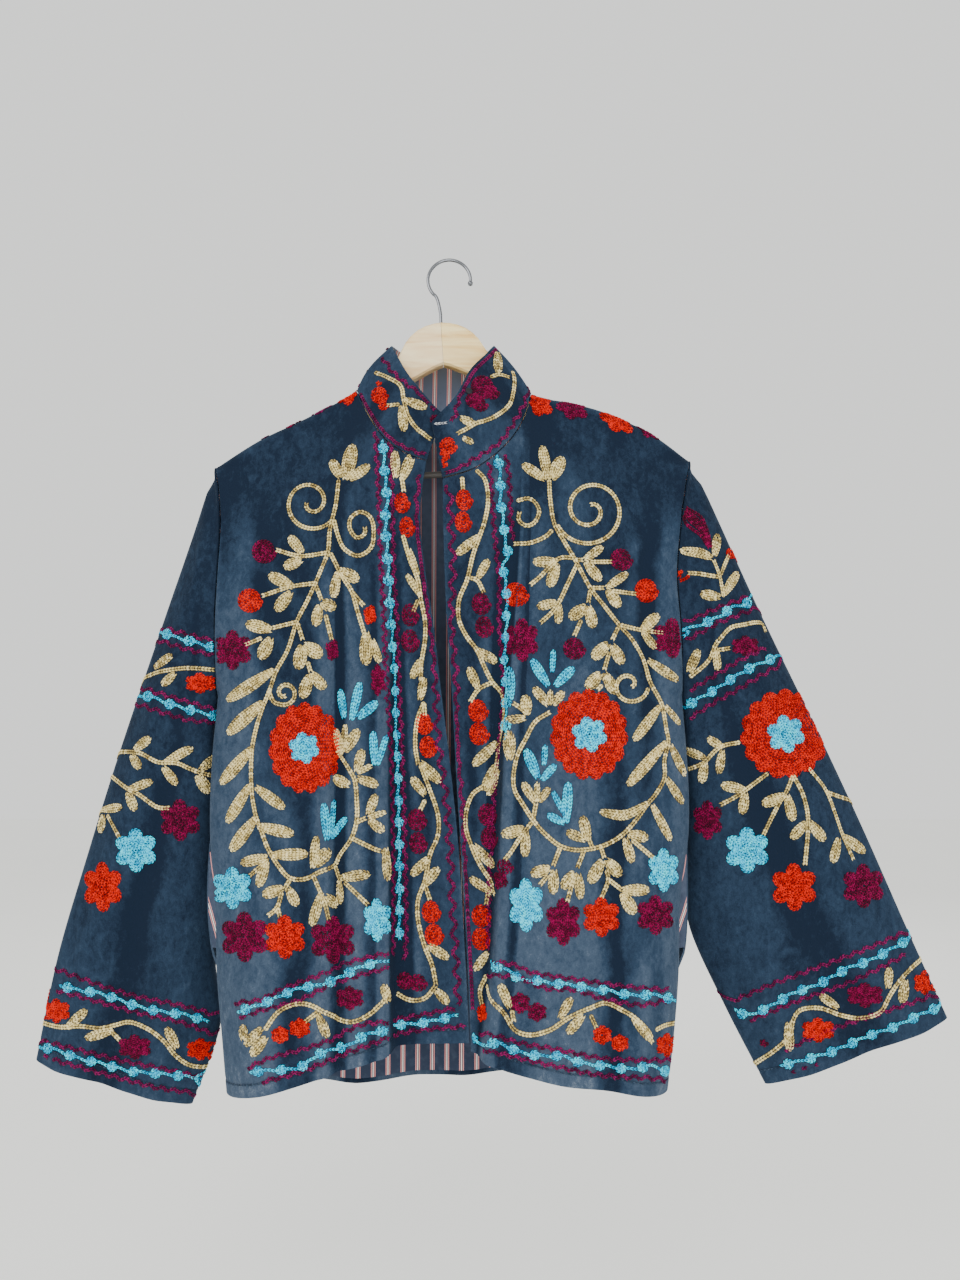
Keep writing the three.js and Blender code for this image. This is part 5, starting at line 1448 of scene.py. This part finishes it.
def build_pocket(name, front):
    rows = pocket_rows(front)
    return shell(name, rows, POCKET_CLOTH, [striped], grid_normals(rows))


# -------------------- laying the stitches

FILL_PITCH, STEM_PITCH, TOP_PITCH = 3.4, 3.2, 3.6    # length of a stitch; the last is topstitching
LEG_LEAN = math.radians(18)
THREAD_LIFT, THREAD_RISE = 0.35, 0.75
# Shares of a stitch's width or length: how far its two pads lie apart, how wide and how long they are.
PAD_SPREAD, PAD_HALF, PAD_REACH = 0.25, 0.28, 0.72
# A pad is a long octahedron: both ends, both sides, top and foot. Its tone is painted lighter on top and
# darker at its sides and foot, as painted shade between the rows.
PADS = np.array([[0, 2, 4], [2, 1, 4], [1, 3, 4], [3, 0, 4], [2, 0, 5], [1, 2, 5], [3, 1, 5], [0, 3, 5]])
PAD_SHADES = np.array([0.0, 0.0, -0.38, -0.38, 0.2, -0.38])
WHOLLY_INSIDE = 0.99
tones = np.random.default_rng(11)


CAST_PASSES, CAST_DAMPING = 16, 0.6


def settle(pixels, depth_at, start):
    """X and Z on a surface seen at the pixels."""
    y = np.full(len(pixels), float(start))
    for _ in range(CAST_PASSES):
        x, z = cast(pixels, y)
        y = y + CAST_DAMPING * (depth_at(x, z) - y)
    return cast(pixels, y)


# Stitches keep this far from the edges of a panel.
CLEAR = {"side": 2.5, "opening": 2, "hem": 3, "top": 0.4, "back": 3}


def front_inside(front, x, z):
    side, edge = (look_up(front["lines"], "z", name, z) for name in ("side", "edge"))
    in_neck = (x - front["neck"]) * front["toward"] > 0
    top = np.where(in_neck, look_up(front["neckline"], "x", "z", x), ridge_z(x))
    off_side, off_edge = (x - side) * front["toward"], (edge - x) * front["toward"]
    across = (off_side > CLEAR["side"]) & (off_edge > CLEAR["opening"])
    return across & (z > look_up(front["hem"], "x", "z", x) + CLEAR["hem"]) & (z < top - CLEAR["top"])


def back_inside(x, z):
    right, left = look_up(BACK_SIDES, "z", "right", z), look_up(BACK_SIDES, "z", "left", z)
    in_neck = (x > RIGHT_FRONT["neck"]) & (x < LEFT_FRONT["neck"])
    top = np.where(in_neck, look_up(NECKLINE_BACK, "x", "z", x), ridge_z(x))
    across = (x > right + CLEAR["back"]) & (x < left - CLEAR["back"])
    return across & (z > look_up(HEM_BACK, "x", "z", x) + CLEAR["hem"]) & (z < top - CLEAR["top"])


def stitches_along(stroke, uv, place, inside):
    """Place on the cloth, middle, run, width, lift and colour of each stitch of one stroke."""
    s = lengths_along(place)
    steps = max(int(round(s[-1] / stroke["pitch"])), 1)
    ends = np.linspace(0, s[-1], steps + 1)
    mids = (ends[1:] + ends[:-1]) / 2
    line = np.stack([np.interp(ends, s, column) for column in place.T], -1)
    good = np.interp(mids, s, inside.astype(float)) > WHOLLY_INSIDE
    uv = np.stack([np.interp(mids, s, column) for column in uv.T], -1)
    same = (stroke["width"], stroke["lift"], THREAD_NAMES.index(stroke["colour"]))
    columns = (uv, (line[1:] + line[:-1]) / 2, line[1:] - line[:-1], *(np.full(steps, v) for v in same))
    return [values[good] for values in columns]


def pad_points(middle, normal, run, width):
    """Six points of each pad: the left pads of all stitches, then the right ones."""
    pitch = np.linalg.norm(run, axis=1)
    along = unit(run - normal * (run * normal).sum(1)[:, None])
    across = np.cross(normal, along)
    up = normal * (THREAD_RISE * np.clip(width / FILL, 0.35, 1.2))[:, None]
    points = []
    for sign in (-1, 1):
        axis = along * math.cos(LEG_LEAN) + across * sign * math.sin(LEG_LEAN)
        beside = np.cross(normal, axis)
        centre = middle + across * (sign * width * PAD_SPREAD)[:, None]
        reach, half = axis * (PAD_REACH * pitch + 0.1)[:, None], beside * (width * PAD_HALF)[:, None]
        points.append(np.stack([centre - reach, centre + reach, centre - half, centre + half,
                                centre + up, centre - up], 1))
    return np.concatenate(points).reshape(-1, 3)


def lay(name, cloth, strokes):
    """Two leaning pads for each chain stitch, along strokes on a surface.

    cloth has point(u, v), inside(u, v), outward(place, u, v), steps and thickness."""
    uv = np.concatenate([s["uv"] for s in strokes])
    place = cloth["point"](uv[:, 0], uv[:, 1])
    inside = cloth["inside"](uv[:, 0], uv[:, 1]) & np.concatenate([s["ok"] for s in strokes])
    cuts = np.cumsum([len(s["uv"]) for s in strokes])[:-1]
    parts = zip(strokes, *(np.split(values, cuts) for values in (uv, place, inside)))
    found = [stitches_along(*part) for part in parts if part[-1].any()]
    uv, middle, run, width, lift, pick = (np.concatenate(values) for values in zip(*found))
    normal = surface_normals(cloth["point"], uv[:, 0], uv[:, 1], *cloth["steps"])
    out = cloth["outward"](middle, uv[:, 0], uv[:, 1])
    normal = normal * np.where((normal * out).sum(1) < 0, -1, 1)[:, None]
    middle = middle + normal * (cloth["thickness"] / 2 + THREAD_LIFT + lift)[:, None]
    points = pad_points(middle, normal, run, width)
    pads = len(points) // 6
    faces = (PADS[None] + 6 * np.arange(pads)[:, None, None]).reshape(-1, 3)
    a, b, c = np.moveaxis(points[faces[:len(PADS)]], 1, 0)
    if ((a - points[:6].mean(0)) * np.cross(b - a, c - a)).sum() < 0:
        faces = faces[:, ::-1]
    # Each stitch's own random tone, plus painted shade on its pads' sides and foot and a painted highlight
    # on top.
    tone = (0.15 + 0.7 * np.tile(tones.random(pads // 2), 2))[:, None] + PAD_SHADES
    picks = np.repeat(np.tile(pick, 2), len(PADS))
    made = make_object(name, points, faces, list(THREADS.values()), picks, {"tone": tone.ravel()})
    return made


def pitched(strokes, uvs, oks):
    """Strokes with the length of their stitches and their places on the cloth."""
    for stroke, uv, ok in zip(strokes, uvs, oks):
        pitch = STEM_PITCH if stroke["width"] >= WOOL else FILL_PITCH
        yield {"pitch": pitch, **stroke, "uv": uv, "ok": ok}


def on_cloth(strokes, finder):
    """Strokes with their places on a surface, all found together."""
    pixels = np.concatenate([s["line"] for s in strokes])
    places, ok = finder(pixels)
    cuts = np.cumsum([len(s["line"]) for s in strokes])[:-1]
    return list(pitched(strokes, np.split(places, cuts), np.split(ok, cuts)))


EDGE_MARGIN, EDGE_REACH = 2.8, 12    # lines this near the front edge are kept inside it
FRONT_START, SLEEVE_START = -50, -10    # first guesses of a surface's Y


def front_finder(front):
    def depth(x, z):
        return front_point(front, x, z)[..., 1] - VELVET / 2

    def find(pixels):
        x, z = settle(pixels, depth, FRONT_START)
        edge = look_up(front["lines"], "z", "edge", z)
        over = (x - edge) * front["toward"] + EDGE_MARGIN
        x = np.where((over > 0) & (over < EDGE_REACH), x - over * front["toward"], x)
        return np.stack([x, z], -1), np.ones(len(x), bool)
    return find


# Strokes on a sleeve keep this share away from its outer and inner edges, its top and its hem.
SLEEVE_CLEAR = {"edge": 0.012, "top": 0.004, "hem": 0.012}


def sleeve_finder(sleeve):
    def turn(share):
        return np.degrees(np.arccos(np.clip(1 - 2 * share, -1, 1)))

    def depth(x, z):
        at, share = sleeve_places(sleeve, x, z)
        return sleeve_point(sleeve, np.clip(at, 0, 1), turn(share))[..., 1] - VELVET / 2

    def find(pixels):
        x, z = settle(pixels, depth, SLEEVE_START)
        at, share = sleeve_places(sleeve, x, z)
        ok = (share > SLEEVE_CLEAR["edge"]) & (share < 1 - SLEEVE_CLEAR["edge"])
        ok = ok & (at > SLEEVE_CLEAR["top"]) & (at < 1 - SLEEVE_CLEAR["hem"])
        return np.stack([np.clip(at, 0, 1), turn(share)], -1), ok
    return find


EDGE_TURN = 26          # degrees round a sleeve from its outer or inner edge
EDGE_SLIDE = 0.03       # how far along the sleeve a stroke may run while it is carried on to the edge
RUN_IN = 4              # points at the end of a stroke that give its way on


def over_edge(stroke):
    """The runs of a stroke on a sleeve, those that end near its outer or inner edge carried on to it."""
    uv, ok = stroke["uv"], stroke["ok"]
    bounds = np.flatnonzero(np.diff(np.concatenate([[0], ok.astype(int), [0]])))
    for begin, end in zip(bounds[::2], bounds[1::2]):
        line = uv[begin:end]
        if len(line) <= RUN_IN:
            continue
        for _ in range(2):
            line = line[::-1]
            last, step = line[-1], line[-1] - line[-1 - RUN_IN]
            target = 0.0 if last[1] < 90 else 180.0
            ahead = (target - last[1]) / step[1] if abs(step[1]) > 1e-6 else -1
            slide = ahead * step[0]
            if ahead > 0 and abs(target - last[1]) < EDGE_TURN and abs(slide) < EDGE_SLIDE:
                line = np.concatenate([line, last + step * ahead * np.linspace(0.2, 1, 5)[:, None]])
        yield dict(stroke, uv=line, ok=np.ones(len(line), bool))


COLLAR_REACH = 9        # pixels a line may lie off the collar and still be drawn on it


def collar_finder(low, high):
    """Finds the nearest of many places on the collar, between two shares of its length."""
    shares, ups = np.meshgrid(np.linspace(low, high, 900), np.linspace(0.055, 0.945, 110))
    shares, ups = shares.ravel(), ups.ravel()
    place = collar_point(shares, ups)
    seen = project(place + collar_outward(place) * COLLAR_CLOTH / 2)

    def find(pixels):
        nearest = [int(np.argmin(((seen - pixel) ** 2).sum(1))) for pixel in pixels]
        close = ((seen[nearest] - pixels) ** 2).sum(1) < COLLAR_REACH ** 2
        return np.stack([shares[nearest], ups[nearest]], -1), close
    return find


def topstitching(uv):
    return {"colour": "slate", "width": 1.3, "lift": -0.2, "pitch": TOP_PITCH, "uv": uv,
            "ok": np.ones(len(uv), bool)}


def hem_stitching(hem, steps):
    x = np.linspace(-230, 235, steps)
    return topstitching(np.stack([x, look_up(hem, "x", "z", x) + STITCH_HEIGHT], -1))


def shoulder_strokes(side, face):
    """Flowers over a shoulder: the part that lies on one face, by X and the way from the ridge."""
    rings = []
    for colour, x, ahead, rx, ry in SHOULDER_FLOWERS:
        if np.sign(x) == side:
            draw_flower(lambda *row: rings.append(row), colour, (x, ahead), rx, ry, 5)
    quarter = SHOULDER_ROLL * math.pi / 2
    strokes = []
    for colour, width, line, _ in rings:
        way = line[:, 1] * face
        s = np.maximum(way, 0)
        rolled = SHOULDER_ROLL * (1 - np.cos(s / SHOULDER_ROLL))
        drop = np.where(s < quarter, rolled, SHOULDER_ROLL + s - quarter)
        uv = np.stack([line[:, 0], ridge_z(line[:, 0]) - drop], -1)
        strokes.append({"colour": colour, "width": width, "lift": 0.0, "pitch": FILL_PITCH, "uv": uv,
                        "ok": way > OVER_RIDGE})
    return strokes


OVER_RIDGE = 1.6         # stitches on a shoulder start this far from its ridge
BACK_MIDDLE, BACK_OVERLAP = 12, 26    # each half of the back's design runs this far past the middle


def back_half(side, x, z):
    return back_inside(x, z) & ((x - BACK_MIDDLE) * side > -BACK_OVERLAP)


def panel(surface, inside, face):
    """A panel as lay() needs it; face is +1 for the back and -1 for a front."""
    return {"point": surface, "inside": inside, "outward": lambda place, u, v: np.array([0, face, 0]),
            "steps": (1.2, 1.2), "thickness": VELVET}


def sew_panels():
    """The fronts' designs on the fronts, and again on each half of the back."""
    made, drawn = {}, {}
    for name, front in FRONTS.items():
        drawn[name] = on_cloth(draw(DESIGNS[name]), front_finder(front))
        cloth = panel(partial(front_point, front), partial(front_inside, front), -1)
        extra = shoulder_strokes(-front["toward"], 1) + [hem_stitching(front["hem"], 240)]
        made["front_" + name] = lay("front_%s_embroidery" % name, cloth, drawn[name] + extra)
    for name, front in FRONTS.items():
        side = -front["toward"]
        cloth = panel(back_point, partial(back_half, side), 1)
        extra = shoulder_strokes(side, -1)
        if name == "right":
            extra.append(hem_stitching(HEM_BACK, 300))
        made["back_" + name] = lay("back_%s_embroidery" % name, cloth, drawn[name] + extra)
    return made


def sew_sleeve(name, sleeve):
    """The design on the front of the tube, and its mirror image behind."""
    found = on_cloth(draw(DESIGNS["sleeve_" + name]), sleeve_finder(sleeve))
    strokes = [run for stroke in found for run in over_edge(stroke)]
    behind = [dict(s, uv=np.stack([s["uv"][:, 0], 360 - s["uv"][:, 1]], -1)) for s in strokes]
    turn = np.linspace(0, 360, 200)
    cuff = topstitching(np.stack([0 * turn + 1 - STITCH_HEIGHT / SLEEVE_LENGTH, turn], -1))
    cloth = {
        "point": lambda at, turn: sleeve_point(sleeve, at, turn),
        "inside": lambda at, turn: at < BEYOND_HEM,
        "outward": lambda place, at, turn: sleeve_outward(sleeve, at, place),
        "steps": (0.003, 0.8), "thickness": VELVET,
    }
    return lay("sleeve_%s_embroidery" % name, cloth, strokes + behind + [cuff])


COLLAR_HEIGHT = 50       # mm, for the design behind the neck


def behind_neck(places):
    return places / [SEAM_LENGTH, COLLAR_HEIGHT], np.ones(len(places), bool)


def sew_collar():
    """Three designs: both ends as the photograph's frame shows them, and the part behind the neck."""
    finders = {"collar_right": collar_finder(0.0, 0.262), "collar_left": collar_finder(0.692, 1.0),
               "collar_back": behind_neck}
    strokes = [stroke for key, finder in finders.items() for stroke in on_cloth(draw(DESIGNS[key]), finder)]
    cloth = {
        "point": collar_point, "steps": (0.003, 0.03), "thickness": COLLAR_CLOTH,
        "inside": lambda share, up: (share > 0.006) & (share < 0.994) & (up > 0.035) & (up < 0.965),
        "outward": lambda place, u, v: collar_outward(place),
    }
    return lay("collar_embroidery", cloth, strokes)


cloths = {
    "front_right": build_front("front_right_cloth", RIGHT_FRONT, RIGHT_ROWS),
    "front_left": build_front("front_left_cloth", LEFT_FRONT, LEFT_ROWS),
    "back": build_back(),
    "back_lining": build_lining(),
    "collar": build_collar(),
    "sleeve_right": build_sleeve("sleeve_right_cloth", SLEEVES["right"]),
    "sleeve_left": build_sleeve("sleeve_left_cloth", SLEEVES["left"]),
    "pocket_right": build_pocket("pocket_right_cloth", RIGHT_FRONT),
    "pocket_left": build_pocket("pocket_left_cloth", LEFT_FRONT),
}
stitches = sew_panels()
for name, sleeve in SLEEVES.items():
    stitches["sleeve_" + name] = sew_sleeve(name, sleeve)
stitches["collar"] = sew_collar()

# Flat cut of each piece: width, length in metres and area in square metres.
CUTS = {
    "front_right": (0.30, 0.67, 0.157),
    "front_left": (0.30, 0.67, 0.157),
    "back": (0.56, 0.70, 0.345),
    "back_lining": (0.50, 0.70, 0.27),
    "collar": (0.46, 0.065, 0.027),
    "sleeve_right": (0.50, 0.56, 0.17),
    "sleeve_left": (0.50, 0.56, 0.17),
    "pocket_right": (0.20, 0.14, 0.023),
    "pocket_left": (0.20, 0.14, 0.023),
}
SEWN_ON = {
    "back": ["back_right", "back_left"], "front_right": ["front_right"], "front_left": ["front_left"],
    "collar": ["collar"], "sleeve_right": ["sleeve_right"], "sleeve_left": ["sleeve_left"],
}
for name, cloth in cloths.items():
    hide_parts(name)
    wide, long, area = CUTS[name]
    [stitches[key] for key in SEWN_ON.get(name, ())]

# -------------------- hanger and stud

CAD_LOOKS = {
    "hanger_arm_right": (wood_right, "wood"), "hanger_arm_left": (wood_left, "wood"),
    "hanger_bar": (shaded_bar_wood, "wood"), "hanger_hook": (steel, "steel"),
    "collar_stud": (dark_metal, "dark_metal"),
}
for name, (look, slot) in CAD_LOOKS.items():
    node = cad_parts[name]
    node.data.materials.clear()
    node.data.materials.append(look)

# -------------------- floor, light, camera

FLOOR_Z, FLOOR_HALF = -1.15, 6.0


def build_floor():
    mesh = bpy.data.meshes.new("floor")
    square = ((-1, -1), (1, -1), (1, 1), (-1, 1))
    mesh.from_pydata([(x * FLOOR_HALF, y * FLOOR_HALF, FLOOR_Z) for x, y in square], [], [(0, 1, 2, 3)])
    look = Look("pale floor", Roughness=0.85, Specular_IOR_Level=0.1)
    look.colour(look.blend(look.noise(3, 2), srgb(250, 250, 247), srgb(254, 254, 251)))
    mesh.materials.append(look.material)
    made = bpy.data.objects.new("floor", mesh)
    bpy.context.scene.collection.objects.link(made)


def build_light(name, place, target, size, power):
    data = bpy.data.lights.new(name, "AREA")
    data.shape, data.size, data.energy = "DISK", size, power
    made = bpy.data.objects.new(name, data)
    made.location = place
    x, y, z = np.array(target) - np.array(place)
    made.rotation_euler = (math.atan2(math.hypot(x, y), -z), 0, math.atan2(y, x) - math.pi / 2)
    bpy.context.scene.collection.objects.link(made)


build_floor()
build_light("key", (-0.9, -1.8, 0.7), (0, 0, -0.45), 1.4, 19)
build_light("front", (0.05, -1.9, -0.3), (0, 0, -0.5), 0.9, 7)
build_light("fill", (1.4, -1.6, -0.2), (0, 0, -0.5), 1.4, 9)
build_light("behind", (0.4, 2.2, 0.8), (0, 0, -0.5), 1.6, 16)

world = bpy.data.worlds.new("studio")
world.use_nodes = True
background = world.node_tree.nodes["Background"]
background.inputs["Color"].default_value = srgb(226, 227, 225)
background.inputs["Strength"].default_value = 1.55
bpy.context.scene.world = world

lens = bpy.data.cameras.new("camera")
lens.sensor_width, lens.lens = SENSOR, FOCAL / FRAME_HEIGHT * SENSOR
camera = bpy.data.objects.new("camera", lens)
camera.location = EYE * 0.001
camera.rotation_euler = (math.pi / 2 + PITCH, 0, 0)
bpy.context.scene.collection.objects.link(camera)
bpy.context.scene.camera = camera
